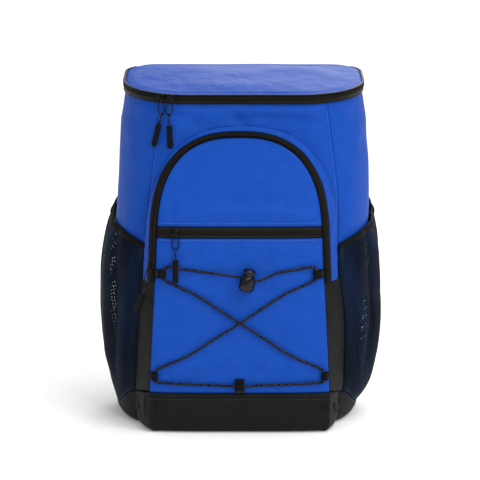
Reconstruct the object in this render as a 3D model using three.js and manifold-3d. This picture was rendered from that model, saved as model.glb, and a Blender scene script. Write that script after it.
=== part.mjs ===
// A cooler backpack: a padded, hollow body of sewn panels on a black base, with a sloping zipped lid,
// an arched front pocket laced with an elastic cord, two mesh side pockets, shoulder straps and a handle.
// Millimetres, +Z up. The front faces -Y and the back panel faces +Y.
import * as THREE from "three";
import { mergeVertices } from "three/addons/utils/BufferGeometryUtils.js";
import Module from "manifold-3d";

const wasm = await Module();
wasm.setup();

// Driving dimensions of the body
const bodyWidth = 308; // widest, across the side panels
const bodyDepth = 168; // from the front panel to the back panel
const rimFrontHeight = 395; // floor to the lid's zip at the front
const rimBackHeight = 414; // floor to the lid's seam at the back
const wall = 5; // foam-padded panel
const gap = 0.3; // clearance between pieces that touch

// The base that the bag stands on
const baseFrontHeight = 49;
const baseSeamHeight = 42; // where the pocket's gusset meets the side panel
const baseSideHeight = 18;
const baseBackHeight = 30;
const baseWall = 3;
const baseFloor = 4;
const baseRounding = 12; // radius of the edge that rolls under
const panelWidening = 14; // height over which the front panel widens above the base

// The lid and the zip round its front and sides
const lidEdge = 5; // height of the lid's edge above the rim
const lidCrown = 6; // how far the padded top rises above that edge
const lidRolled = 7; // width of the rolled edge
const lidWall = 5;
const lidZipBelow = 7; // width of tape below the coil
const lidZipAbove = 4.5;

// The front pocket
const pocketWidth = 213; // across its front, at the base
const pocketTop = 350; // floor to the top of the pocket's front
const pocketSpring = 235; // floor to where the arch begins
const pocketDepth = 42; // how far it stands off the front panel
const pocketWall = 3;
const pocketRoll = 5; // how far the front's edge rolls back
const gussetWall = 2.5;
const gussetSplitHeight = 181; // floor to where the black gusset ends and the zip begins
const archZipWidth = 9;
const archZipRoll = 4;
const frontZipHeight = 240.5; // floor to the middle of the straight zip
const frontZipWidth = 13;
const tapeThickness = 1.2;
const coilHeight = 1.3; // how far a zip's coil stands above its tape
const coilWidth = 4.4;

// The mesh side pockets
const meshThickness = 1.2;
const meshBulge = 25; // greatest stand-off from the side panel
const meshFrontHeight = 221; // floor to the pocket's mouth at the front seam
const meshBackHeight = 264;
const bindingWidth = 8;
const bindingThickness = 1.4;

// The elastic cord, its webbing loops and its lock
const cordDiameter = 3;
const loopThickness = 1.4;
const lockRadius = 9;
const lockHeight = 19;
const lockBore = 5.6;
const lockFloor = 2.4;
const lockCordHeight = 15; // from the barrel's foot to the middle of the cord
const lockTilt = 0.2; // radians, its foot towards the left
const buttonRadius = 7.6;
const buttonHeight = 4.8;
const buttonTravel = 3;

// The zip sliders and their pulls
const sliderLength = 10;
const sliderWidth = 7.5;
const sliderHeight = 2.2;
const bridgeWidth = 3;
const bridgeThickness = 1.1;
const ringLength = 20; // from the bridge to the ring's far end
const ringWidth = 8;
const ringWire = 1.4;
const pullNeck = 12;
const neckWidth = 2.2;
const gripLength = 28;
const gripWidth = 7.2;
const gripThickness = 3.6;

// The shoulder straps, their webbing and buckles, and the grab handle
const strapWidth = 62;
const strapThickness = 12;
const strapStandOff = 52; // greatest distance of a strap's middle from the back panel
const webbingWidth = 25;
const webbingThickness = 1.8;
const webbingAnchor = 34; // from the base's edge up to the webbing's end
const buckleWidth = 36;
const buckleLength = 24;
const buckleThickness = 4.5;
const handleSpan = 110;
const handleStandOff = 30;
const handleThickness = 4;
const handleWidth = 20;
const handleHeight = 394;

// Sections of the body, as shares: height of rimBackHeight, half, cornerX and seam of half the body's width,
// centre of the whole width, and cornerY and backCorner of its depth
const bodySections = [
  { height: 0.0, half: 0.935, centre: -0.01, cornerX: 0.31, cornerY: 0.54, seam: 0.775, backCorner: 0.27 },
  { height: 0.045, half: 0.955, centre: -0.01, cornerX: 0.31, cornerY: 0.54, seam: 0.785, backCorner: 0.27 },
  { height: 0.145, half: 0.974, centre: -0.006, cornerX: 0.32, cornerY: 0.55, seam: 0.79, backCorner: 0.26 },
  { height: 0.34, half: 0.994, centre: 0.002, cornerX: 0.33, cornerY: 0.56, seam: 0.773, backCorner: 0.25 },
  { height: 0.53, half: 1.0, centre: 0.008, cornerX: 0.345, cornerY: 0.565, seam: 0.75, backCorner: 0.24 },
  { height: 0.69, half: 0.985, centre: 0.016, cornerX: 0.39, cornerY: 0.555, seam: 0.727, backCorner: 0.23 },
  { height: 0.865, half: 0.955, centre: 0.016, cornerX: 0.47, cornerY: 0.53, seam: 0.67, backCorner: 0.22 },
  { height: 1.0, half: 0.92, centre: 0.016, cornerX: 0.53, cornerY: 0.51, seam: 0.625, backCorner: 0.21 },
];

// Sections of the front pocket, as shares: height of pocketTop, half of half its width, depth of its depth
const pocketSections = [
  { height: 0.0, half: 1.0, depth: 0.95 },
  { height: 0.14, half: 1.0, depth: 1.0 },
  { height: 0.37, half: 0.965, depth: 1.0 },
  { height: 0.57, half: 0.93, depth: 0.94 },
  { height: 0.69, half: 0.915, depth: 0.84 },
  { height: 0.83, half: 0.9, depth: 0.64 },
  { height: 1.0, half: 0.885, depth: 0.4 },
];

// How far a mesh pocket stands off, as a share of meshBulge, by share of its own height
const meshSections = [
  { height: 0.0, bulge: 0.0 },
  { height: 0.12, bulge: 0.42 },
  { height: 0.3, bulge: 0.8 },
  { height: 0.55, bulge: 0.86 },
  { height: 0.8, bulge: 0.68 },
  { height: 1.0, bulge: 0.36 },
];

// Middle line of a shoulder strap, as shares: across of half the body's width, out of strapStandOff,
// height of rimBackHeight
const strapRoute = [
  { across: 0.3, out: 0.0, height: 0.895 },
  { across: 0.3, out: 0.12, height: 0.895 },
  { across: 0.32, out: 0.48, height: 0.89 },
  { across: 0.36, out: 0.85, height: 0.84 },
  { across: 0.43, out: 1.0, height: 0.73 },
  { across: 0.5, out: 0.98, height: 0.6 },
  { across: 0.55, out: 0.88, height: 0.47 },
  { across: 0.58, out: 0.74, height: 0.36 },
];

const colours = {
  blue: { color: 0x2350b4, roughness: 0.5, metalness: 0 },
  black: { color: 0x1c1c1d, roughness: 0.65, metalness: 0 },
  mesh: { color: 0x14213a, roughness: 0.8, metalness: 0 },
  zip: { color: 0x100f0f, roughness: 0.55, metalness: 0 },
  padding: { color: 0x1a1a1c, roughness: 0.9, metalness: 0 },
  metal: { color: 0x17171a, roughness: 0.3, metalness: 0.8 },
  plastic: { color: 0x141416, roughness: 0.25, metalness: 0 },
  elastic: { color: 0x0d0e12, roughness: 0.8, metalness: 0 },
};

const bag = new THREE.Group();
const halfWidth = bodyWidth / 2;
const frontY = -bodyDepth / 2;
const backY = bodyDepth / 2;
const { lerp, clamp, smoothstep } = THREE.MathUtils;

function addPiece(name, geometry, colour, parent = bag) {
  const mesh = new THREE.Mesh(geometry, new THREE.MeshStandardMaterial(colours[colour]));
  mesh.name = name;
  parent.add(mesh);
  return mesh;
}

// One column of a table at a given share, on a smooth curve through the rows
function readTable(table, column, at) {
  const last = table.length - 1;
  let i = 0;
  while (i < last - 1 && at > table[i + 1].height) i += 1;
  const [from, to] = [table[i], table[i + 1]];
  const span = to.height - from.height;
  const slope = (a, b) => {
    const [low, high] = [table[a], table[b]];
    return b === a ? 0 : (high[column] - low[column]) / (high.height - low.height);
  };
  const slopeFrom = slope(Math.max(i - 1, 0), i + 1) * span;
  const slopeTo = slope(i, Math.min(i + 2, last)) * span;
  const t = clamp((at - from.height) / span, 0, 1);
  const rise = to[column] - from[column];
  const bend = t * (1 - t);
  return from[column] + rise * t * t * (3 - 2 * t) + bend * ((1 - t) * slopeFrom - t * slopeTo);
}

// Closed loops of equal count, joined one to the next. Ends are closed by a fan, or by a strip between the
// loop's two long sides; ends "joined" makes the last loop meet the first.
function stackLoops(loops, ends = "fan") {
  const count = loops[0].length;
  const positions = loops.flat().flatMap((p) => [p.x, p.y, p.z]);
  const faces = [];
  const bands = ends === "joined" ? loops.length : loops.length - 1;
  for (let i = 0; i < bands; i += 1) {
    const next = (i + 1) % loops.length;
    for (let j = 0; j < count; j += 1) {
      const k = (j + 1) % count;
      faces.push([i * count + j, i * count + k, next * count + k]);
      faces.push([i * count + j, next * count + k, next * count + j]);
    }
  }
  const closeEnd = (start, turned) => {
    const turn = (face) => faces.push(turned ? face.reverse() : face);
    if (ends === "fan") {
      const centre = positions.length / 3;
      const loop = loops[start / count];
      const middle = loop.reduce((sum, p) => sum.add(p), new THREE.Vector3()).divideScalar(count);
      positions.push(middle.x, middle.y, middle.z);
      for (let j = 0; j < count; j += 1) turn([centre, start + ((j + 1) % count), start + j]);
    }
    if (ends === "strip") {
      for (let j = 0; j < count / 2 - 1; j += 1) {
        const [a, b] = [start + j, start + j + 1];
        const [c, d] = [start + count - 1 - j, start + count - 2 - j];
        turn([a, d, b]);
        turn([a, c, d]);
      }
    }
  };
  closeEnd(0, false);
  closeEnd((loops.length - 1) * count, true);
  const geometry = new THREE.BufferGeometry();
  geometry.setAttribute("position", new THREE.Float32BufferAttribute(positions, 3));
  const flat = faces.flat();
  geometry.setIndex(signedVolume(positions, flat) < 0 ? flat.reverse() : flat);
  geometry.computeVertexNormals();
  return geometry;
}

function signedVolume(positions, index) {
  const corner = (i) => new THREE.Vector3().fromArray(positions, index[i] * 3);
  let volume = 0;
  for (let i = 0; i < index.length; i += 3) {
    volume += corner(i).dot(corner(i + 1).cross(corner(i + 2))) / 6;
  }
  return volume;
}

// A closed sheet between two grids of points, given as functions of a row and a column from 0 to 1
function sheetBetween(rows, columns, outer, inner) {
  const loops = [];
  for (let i = 0; i <= rows; i += 1) {
    const front = [];
    const back = [];
    for (let j = 0; j <= columns; j += 1) {
      front.push(outer(i / rows, j / columns));
      back.unshift(inner(i / rows, j / columns));
    }
    loops.push([...front, ...back]);
  }
  return stackLoops(loops, "strip");
}

// A closed sheet of even thickness behind a surface. Its rows' and columns' order sets which side is behind.
function sheetBehind(rows, columns, surface, thickness) {
  const step = 1e-3;
  const inner = (u, v) => {
    const [u0, u1] = [Math.max(u - step, 0), Math.min(u + step, 1)];
    const [v0, v1] = [Math.max(v - step, 0), Math.min(v + step, 1)];
    const along = surface(u1, v).sub(surface(u0, v));
    const across = surface(u, v1).sub(surface(u, v0));
    return surface(u, v).addScaledVector(along.cross(across).normalize(), thickness);
  };
  return sheetBetween(rows, columns, surface, inner);
}

// A round or flat section swept along points, kept square to a given side direction
function sweepSection(points, section, sideways, startAlong, endAlong) {
  const last = points.length - 1;
  const loops = points.map((point, i) => {
    const between = points[Math.min(i + 1, last)].clone().sub(points[Math.max(i - 1, 0)]);
    const along = ({ 0: startAlong, [last]: endAlong }[i] ?? between).clone().normalize();
    const normal = along.clone().cross(sideways).normalize();
    const side = normal.clone().cross(along).normalize();
    return section.map(([a, b]) =>
      point.clone().addScaledVector(side, a).addScaledVector(normal, b),
    );
  });
  return stackLoops(loops);
}

// A flat section with rounded long edges, as pairs across and through it
function flatSection(width, thickness) {
  const [a, b] = [width / 2, thickness / 2];
  const rounded = Math.min(b, a);
  return [
    [a - rounded * 0.6, b],
    [a, b * 0.35],
    [a, -b * 0.35],
    [a - rounded * 0.6, -b],
    [-a + rounded * 0.6, -b],
    [-a, -b * 0.35],
    [-a, b * 0.35],
    [-a + rounded * 0.6, b],
  ];
}

function toSolid(geometry) {
  const bare = geometry.clone();
  bare.deleteAttribute("normal");
  bare.deleteAttribute("uv");
  const merged = mergeVertices(bare, 1e-4);
  const index = merged.index.array;
  return new wasm.Manifold(
    new wasm.Mesh({
      numProp: 3,
      vertProperties: new Float32Array(merged.attributes.position.array),
      triVerts: new Uint32Array(index),
    }),
  );
}

function toGeometry(solid) {
  const { vertProperties, triVerts } = solid.getMesh();
  const geometry = new THREE.BufferGeometry();
  geometry.setAttribute("position", new THREE.BufferAttribute(vertProperties, 3));
  geometry.setIndex(new THREE.BufferAttribute(triVerts, 1));
  geometry.computeVertexNormals();
  return geometry;
}

// The body's section at a height, in millimetres
function bodySection(z) {
  const share = z / rimBackHeight;
  const read = (column) => readTable(bodySections, column, share);
  const half = read("half") * halfWidth;
  const cornerX = read("cornerX") * halfWidth;
  const flat = half - cornerX;
  const seam = read("seam") * halfWidth;
  return {
    half,
    cornerX,
    flat,
    seam,
    seamAngle: Math.asin(clamp((seam - flat) / cornerX, 0, 1)),
    centre: read("centre") * bodyWidth,
    cornerY: read("cornerY") * bodyDepth,
    backCorner: read("backCorner") * bodyDepth,
  };
}

// Stations of half the body's outline: the front seam is at 1, the widest point at 2, the back seam at 3 and
// the middle of the back at 4. offset moves the point outwards.
const frontSeam = 1;
const widest = 2;
const backSeam = 3;
const backMiddle = 4;
const straightShare = 0.5; // of the stretch from the widest point to the back seam

function outlinePoint(station, z, offset = 0) {
  const s = bodySection(z);
  const onFrontCorner = (angle) => [
    s.flat + (s.cornerX + offset) * Math.sin(angle),
    frontY + s.cornerY - (s.cornerY + offset) * Math.cos(angle),
  ];
  const onBackCorner = (angle) => [
    s.half - s.backCorner + (s.backCorner + offset) * Math.cos(angle),
    backY - s.backCorner + (s.backCorner + offset) * Math.sin(angle),
  ];
  if (station <= frontSeam) {
    const x = station * s.seam;
    return x <= s.flat ? [x, frontY - offset] : onFrontCorner(Math.asin((x - s.flat) / s.cornerX));
  }
  if (station <= widest) return onFrontCorner(lerp(s.seamAngle, Math.PI / 2, station - frontSeam));
  if (station <= backSeam) {
    const along = station - widest;
    if (along <= straightShare) {
      return [s.half + offset, lerp(frontY + s.cornerY, backY - s.backCorner, along / straightShare)];
    }
    return onBackCorner(lerp(0, Math.PI / 4, (along - straightShare) / (1 - straightShare)));
  }
  const along = station - backSeam;
  if (along <= straightShare) return onBackCorner(lerp(Math.PI / 4, Math.PI / 2, along / straightShare));
  return [lerp(s.half - s.backCorner, 0, (along - straightShare) / (1 - straightShare)), backY + offset];
}

// A signed station puts the point on the left (negative) or right of the bag
function bodyPoint(station, z, offset = 0) {
  const [x, y] = outlinePoint(Math.abs(station), z, offset);
  return new THREE.Vector3(bodySection(z).centre + Math.sign(station) * x, y, z);
}

function rimHeight(y) {
  return lerp(rimFrontHeight, rimBackHeight, clamp((y - frontY) / bodyDepth, 0, 1));
}

function rimAt(station) {
  return rimHeight(outlinePoint(Math.abs(station), rimFrontHeight)[1]);
}

// Height of the base's upper edge round the body
function baseHeight(station) {
  const s = Math.abs(station);
  if (s <= backSeam - 0.6) return lerp(baseSeamHeight, baseSideHeight, smoothstep(s, frontSeam, 1.7));
  return lerp(baseSideHeight, baseBackHeight, smoothstep(s, backSeam - 0.6, backSeam));
}

const seamTrim = 0.002; // share of a station kept clear at each side of a seam
const frontStations = [0, 0.3, 0.62, 0.85, 1];
const sideStations = [1, 1.15, 1.35, 1.6, 1.8, 2, 2.25, 2.5, 2.66, 2.83, 3];
const backStations = [3, 3.17, 3.33, 3.5, 4];
const mirrored = (stations) => [...stations.slice(1).reverse().map((s) => -s), ...stations];

// A list of stations with its two ends drawn in by a share
function drawnIn(stations, share) {
  const last = stations.length - 1;
  const inward = { 0: share, [last]: -share };
  return stations.map((station, i) => station + (inward[i] ?? 0));
}

// The front panel goes down inside the base, where it is narrower to clear the base's wall
function frontPanel() {
  const reachInside = (clear) => 1 - clear / bodySection(0).seam;
  const besideWall = reachInside(baseWall + wall + gap);
  const besideFloor = reachInside(baseWall + wall + baseRounding);
  const aboveBase = baseFrontHeight + panelWidening;
  const reachAt = (z) =>
    z < baseFrontHeight
      ? lerp(besideFloor, besideWall, smoothstep(z, baseFloor, baseRounding * 1.5))
      : lerp(besideWall, 1 - seamTrim, smoothstep(z, baseFrontHeight, aboveBase));
  const stations = mirrored(frontStations);
  const halfWidened = lerp(baseFrontHeight, aboveBase, 0.5);
  const heights = [baseFloor + gap, baseRounding * 1.5, baseFrontHeight, halfWidened];
  const steps = 8;
  for (let i = 0; i <= steps; i += 1) heights.push(lerp(aboveBase, rimFrontHeight, i / steps));
  const at = (offset) => (u, v) => {
    const z = columnAt(heights, u);
    const station = columnAt(stations, v) * reachAt(z);
    const top = clamp((z - pocketTop) / (rimFrontHeight - pocketTop), 0, 1);
    return bodyPoint(station, z + top * (rimAt(station) - rimFrontHeight), offset);
  };
  return sheetBetween(heights.length - 1, stations.length - 1, at(0), at(-wall));
}

// A padded panel that stands on the base, through a list of stations
function standingPanel(rows, stations, signed) {
  const at = (offset) => (u, v) => {
    const station = signed(columnAt(stations, v));
    return bodyPoint(station, lerp(baseHeight(station) + gap, rimAt(station), u), offset);
  };
  return sheetBetween(rows, stations.length - 1, at(0), at(-wall));
}

const panelRows = 9;

function sidePanel(side) {
  return standingPanel(panelRows, drawnIn(sideStations, seamTrim), (station) => side * station);
}

// The back panel's list runs from one back seam through the middle to the other
function backPanel() {
  const half = backStations.map((station) => backMiddle - station);
  const reach = drawnIn([...half, ...half.slice(0, -1).reverse().map((s) => -s)], -seamTrim);
  return standingPanel(panelRows, reach, (along) => (backMiddle - Math.abs(along)) * (along < 0 ? -1 : 1));
}

// The front pocket's face
function pocketHalfAt(z) {
  return (readTable(pocketSections, "half", Math.min(z / pocketTop, 1)) * pocketWidth) / 2;
}

function pocketFaceY(x, z) {
  const out = readTable(pocketSections, "depth", clamp(z / pocketTop, 0, 1)) * pocketDepth;
  const share = Math.min(Math.abs(x) / pocketHalfAt(z), 1);
  return frontY - out + pocketRoll * share ** 4;
}

// An arch with square shoulders: half of it, from its spring (0) to its crown (1), as [x, z]
const archPower = 0.78;

function archPoint(along, half, springZ, crownZ) {
  const angle = (along * Math.PI) / 2;
  const z = lerp(springZ, crownZ, Math.sin(angle) ** archPower);
  return [half(z) * Math.cos(angle) ** archPower, z];
}

// Half of the pocket's edge as [x, z]: straight up to the spring at 1, then the arch to the crown at 2
function pocketEdge(along, fromHeight) {
  if (along <= 1) {
    const z = lerp(fromHeight, pocketSpring, along);
    return [pocketHalfAt(z), z];
  }
  return archPoint(along - 1, pocketHalfAt, pocketSpring, pocketTop);
}

// A point beside the pocket's edge, by a distance outwards in the plane of the front
function besideEdge(along, fromHeight, distance, back) {
  const step = 0.01;
  const [x0, z0] = pocketEdge(Math.max(along - step, 0), fromHeight);
  const [x1, z1] = pocketEdge(Math.min(along + step, 2), fromHeight);
  const [x, z] = pocketEdge(along, fromHeight);
  const tangent = new THREE.Vector2(x1 - x0, z1 - z0).normalize();
  const edgeY = pocketFaceY(pocketHalfAt(z), z);
  return new THREE.Vector3(x + tangent.y * distance, edgeY + back, z - tangent.x * distance);
}

// A point that sits on the arch's left (negative) or right half, from one foot (-1) to the other (1)
function acrossArch(share, pointAt) {
  const point = pointAt(2 * (1 - Math.abs(share)));
  if (share < 0) point.x *= -1;
  return point;
}

function pocketSheet(rows, columns, edge) {
  const surface = (u, v) => {
    const [half, z] = edge(u);
    const x = lerp(-half, half, v);
    return new THREE.Vector3(x, pocketFaceY(x, z), z);
  };
  return sheetBehind(rows, columns, surface, pocketWall);
}

function lowerPocketPanel() {
  const [low, high] = [baseFrontHeight + gap, frontZipHeight - frontZipWidth / 2 - gap];
  return pocketSheet(6, 8, (u) => {
    const z = lerp(low, high, u);
    return [pocketEdge(0, z)[0], z];
  });
}

function upperPocketPanel() {
  const low = frontZipHeight + frontZipWidth / 2 + gap;
  const rise = (low - pocketSpring) / (pocketTop - pocketSpring);
  const first = (Math.asin(rise ** (1 / archPower)) * 2) / Math.PI;
  return pocketSheet(8, 8, (u) => archPoint(lerp(first, 0.965, u), pocketHalfAt, pocketSpring, pocketTop));
}

// Height of a zip's surface above its tape, across its width from -1 to 1
function coilRise(across, width) {
  const reach = coilWidth / width;
  return Math.abs(across) < reach ? coilHeight * Math.cos(((across / reach) * Math.PI) / 2) : 0;
}

// Places across a zip where its surface changes, so that few faces show the coil
function zipColumns(width) {
  const reach = coilWidth / width;
  return [-1, -reach, 0, reach, 1];
}

function columnAt(list, v) {
  const place = v * (list.length - 1);
  const i = Math.min(Math.floor(place), list.length - 2);
  return lerp(list[i], list[i + 1], place - i);
}

function frontZip() {
  const columns = zipColumns(frontZipWidth);
  const surface = (rise) => (u, v) => {
    const across = columnAt(columns, v);
    const z = frontZipHeight + (across * frontZipWidth) / 2;
    const half = pocketEdge(0, z)[0] - gap;
    const x = lerp(half, -half, u);
    const out = rise ? coilRise(across, frontZipWidth) : -tapeThickness;
    return new THREE.Vector3(x, pocketFaceY(x, z) - out + tapeThickness / 2, z);
  };
  return sheetBetween(8, columns.length - 1, surface(true), surface(false));
}

function archZip() {
  const columns = zipColumns(archZipWidth);
  const surface = (rise) => (u, v) => {
    const across = columnAt(columns, v);
    const distance = gap + ((across + 1) / 2) * (archZipWidth - gap);
    const back = archZipRoll * (distance / archZipWidth) ** 2;
    const out = rise ? coilRise(across, archZipWidth) : -tapeThickness;
    const slope = (2 * archZipRoll * distance) / archZipWidth ** 2;
    const tilt = Math.hypot(1, slope);
    const place = (along) =>
      besideEdge(along, gussetSplitHeight, distance + (out * slope) / tilt, back - out / tilt);
    return acrossArch(lerp(-1, 1, u), place);
  };
  return sheetBetween(36, columns.length - 1, surface(true), surface(false));
}

// Where the pocket's gusset lands on the front panel: the foot is at 0, the spring at 1 and the crown at 2
const landingInset = 1.6; // from the body's front seam
const landingBesideZip = 3; // from the zip's outer edge, at the crown

function landingPoint(side, along, fromHeight) {
  const beside = archZipWidth + landingBesideZip;
  const half = (z) => {
    const atSeam = bodySection(z).seam - landingInset;
    const atZip = pocketHalfAt(z) + beside;
    return lerp(atSeam, atZip, smoothstep(z, pocketSpring, lerp(pocketSpring, pocketTop, 0.7)));
  };
  const straight = lerp(fromHeight, pocketSpring, Math.min(along, 1));
  const [x, z] =
    along <= 1 ? [half(straight), straight] : archPoint(along - 1, half, pocketSpring, pocketTop + beside);
  const inner = Math.max(x - gussetWall, 0);
  const [, y] = outlinePoint(inner / bodySection(z).seam, z, gap * 2);
  return new THREE.Vector3(x + side * bodySection(z).centre, y, z);
}

// The gusset bows out a little between the pocket's edge and its landing
const gussetBow = 2.5;

function gussetPoint(side, along, v, start, fromHeight) {
  const front = besideEdge(along, fromHeight, start.distance, start.back);
  const landing = landingPoint(side, along, fromHeight);
  const point = front.clone().lerp(landing, v);
  const bow = gussetBow * Math.sin(Math.PI * v);
  point.x += along <= 1 ? bow : bow * (2 - along);
  point.z += along <= 1 ? 0 : bow * (along - 1);
  point.x *= side;
  return point;
}

function upperGusset() {
  const start = { distance: archZipWidth + gap, back: archZipRoll + tapeThickness + gap };
  const surface = (u, v) => {
    const share = lerp(-1, 1, u);
    return gussetPoint(share < 0 ? -1 : 1, 2 * (1 - Math.abs(share)), v, start, gussetSplitHeight + gap);
  };
  return sheetBehind(28, 2, surface, -gussetWall);
}

const footClearance = 1; // under the lower gusset, where it steps in behind the pocket's face

function lowerGusset(side) {
  const start = { distance: gap * 2, back: pocketWall + gap };
  const footHeight = (v) => lerp(baseFrontHeight, baseSeamHeight, v) + footClearance;
  const surface = (u, v) => {
    const z = lerp(footHeight(v), gussetSplitHeight, u);
    return gussetPoint(side, 0, v, start, z);
  };
  return sheetBehind(6, 2, surface, side * gussetWall);
}

// Stations of half the base's outline: the pocket's front, its gusset, then the body's side and back
const baseStations = [
  ...[0, 0.3, 0.6, 0.85, 1].map((share) => ({ kind: "front", share })),
  ...[0.3, 0.65].map((share) => ({ kind: "gusset", share })),
  ...[...sideStations, ...backStations.slice(1)].map((share) => ({ kind: "body", share })),
];

// Half a loop's stations on the right, then the same on the left
function roundTheLoop(stations) {
  const left = stations.slice(1, -1).reverse();
  return [...stations.map((station) => [station, 1]), ...left.map((station) => [station, -1])];
}

function basePoint({ kind, share }, side, z, offset) {
  const half = pocketHalfAt(z);
  const edge = new THREE.Vector3(half + offset * 0.6, pocketFaceY(half, z) - offset * 0.6, z);
  if (kind === "front") {
    const x = half * share;
    const square = new THREE.Vector3(x, pocketFaceY(x, z) - offset, z);
    const point = share < 1 ? square : edge;
    return point.setX(side * point.x);
  }
  const s = bodySection(z);
  const body = (station) => {
    const [x, y] = outlinePoint(station, z, offset);
    return new THREE.Vector3(x, y, z);
  };
  if (kind === "gusset") {
    const bow = gussetBow * Math.sin(Math.PI * share);
    const seam = body(frontSeam).setX(body(frontSeam).x + side * s.centre);
    const point = edge.lerp(seam, share);
    return point.setX(side * (point.x + bow));
  }
  const point = body(share);
  return point.setX(s.centre + side * point.x);
}

function baseTopAt({ kind, share }) {
  if (kind === "front") return baseFrontHeight;
  if (kind === "gusset") return lerp(baseFrontHeight, baseSeamHeight, share);
  return baseHeight(share);
}

function base() {
  const around = roundTheLoop(baseStations);
  const loopAt = (height, offset) =>
    around.map(([station, side]) => basePoint(station, side, height(station), offset));
  const inset = (share) => baseRounding * (1 - Math.sqrt(1 - (1 - share) ** 2));
  const outer = [0, 0.15, 0.45, 1].map((share) => loopAt(() => baseRounding * share, -inset(share)));
  const toTop = (share) => (station) => lerp(baseRounding, baseTopAt(station), share);
  const inner = [1, 0.5].map((share) => loopAt(toTop(share), -baseWall));
  const floor = [
    loopAt(() => baseRounding, -baseWall),
    loopAt(() => baseFloor, -baseWall - baseRounding * 0.7),
  ];
  return stackLoops([...outer, loopAt(toTop(0.5), 0), loopAt(toTop(1), 0), ...inner, ...floor]);
}

// The lid: its edge follows the body's rim, and its padded top is crowned
const rimStations = [...frontStations, ...sideStations.slice(1), ...backStations.slice(1)];

function rimPoint(station, side, rise, offset) {
  const rim = rimAt(station);
  const onBody = rim + Math.min(rise, 0);
  const [x, y] = outlinePoint(station, onBody, offset);
  return new THREE.Vector3(bodySection(onBody).centre + side * x, y, rim + rise);
}

function lid() {
  const around = roundTheLoop(rimStations);
  const middle = new THREE.Vector3(bodySection(rimFrontHeight).centre, 0, 0);
  const loopAt = (rise, offset, shrink = 1) =>
    around.map(([station, side]) => {
      const point = rimPoint(station, side, rise, offset);
      if (shrink === 1) return point;
      point.x = lerp(middle.x, point.x, shrink);
      point.y = lerp(middle.y, point.y, shrink);
      return point.setZ(rimHeight(point.y) + rise);
    });
  const crown = (shrink) => lidEdge + lidCrown * (1 - shrink ** 2);
  const outside = [
    ...[0.3, 0.65, 0.9].map((shrink) => loopAt(crown(shrink), -lidRolled, shrink)),
    loopAt(lidEdge + lidCrown * 0.08, -lidRolled),
    loopAt(lidEdge * 0.8, -lidRolled * 0.28),
    loopAt(lidEdge * 0.35, 0),
    loopAt(gap, 0),
  ];
  const inside = [
    loopAt(gap, -lidWall),
    loopAt(gap, -lidWall - 2),
    ...[0.85, 0.5].map((shrink) => loopAt(crown(shrink) - lidWall, -lidRolled, shrink)),
  ];
  return stackLoops([...outside, ...inside]);
}

// The lid's zip runs round the front and both sides, from one back seam to the other
function lidZip() {
  const height = lidZipBelow + lidZipAbove;
  const coilShare = (lidZipBelow / height) * 2 - 1;
  const reach = coilWidth / height;
  const columns = [-1, coilShare - reach, coilShare, coilShare + reach, 1];
  const path = mirrored(rimStations.filter((station) => station <= backSeam));
  const surface = (rise) => (u, v) => {
    const across = columnAt(columns, v);
    const station = columnAt(path, u);
    const up = lerp(-lidZipBelow, lidZipAbove, (across + 1) / 2);
    const coil = rise ? coilRise(across - coilShare, height) : 0;
    const offset = (rise ? gap + tapeThickness : gap) + coil;
    return rimPoint(Math.abs(station), Math.sign(station) || 1, up, offset);
  };
  return sheetBetween(path.length - 1, columns.length - 1, surface(true), surface(false));
}

// The mesh side pockets, open at the top
function meshTop(along) {
  return lerp(meshFrontHeight, meshBackHeight, along ** 0.8);
}

const meshStations = drawnIn(sideStations, 0.02);

function meshPoint(side, station, up, lift) {
  const along = (station - frontSeam) / (backSeam - frontSeam);
  const low = baseHeight(station) + gap;
  const z = lerp(low, meshTop(along), up);
  const belly = Math.sin(Math.PI * along) ** 0.8;
  const bulge = meshBulge * belly * readTable(meshSections, "bulge", clamp(up, 0, 1));
  return bodyPoint(side * station, z, gap + bulge + lift);
}

function meshPocket(side) {
  const at = (lift) => (u, v) => meshPoint(side, columnAt(meshStations, v), u, lift);
  return sheetBetween(8, meshStations.length - 1, at(meshThickness), at(0));
}

function meshBinding(side) {
  const share = bindingWidth / meshFrontHeight;
  const at = (lift) => (u, v) =>
    meshPoint(side, columnAt(meshStations, u), lerp(1 - share, 1, v), meshThickness + gap + lift);
  return sheetBetween(meshStations.length - 1, 1, at(bindingThickness), at(0));
}

// Webbing loops on the pocket's face: across as a share of half its width there, height of pocketTop
const upperLoop = { across: 0.995, height: 0.549, length: 13, width: 10 };
const lowerLoop = { across: 0.993, height: 0.199, length: 9, width: 10 };
const middleLoop = { across: 0, height: 0.142, length: 17.5, width: 11, mouthAt: 8.5 };
const lockPlace = { across: 0.1, height: 0.537 };

function onPocket({ across, height }, out = 0) {
  const z = height * pocketTop;
  const x = across * pocketHalfAt(z);
  return new THREE.Vector3(x, pocketFaceY(x, z) - out, z);
}

// A folded webbing loop with its mouth across the cord. direction points from its sewn end to the cord. The
// mouth is at the fold, or part of the way to it where mouthAt says so.
const loopMouth = cordDiameter + gap * 2;

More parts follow.
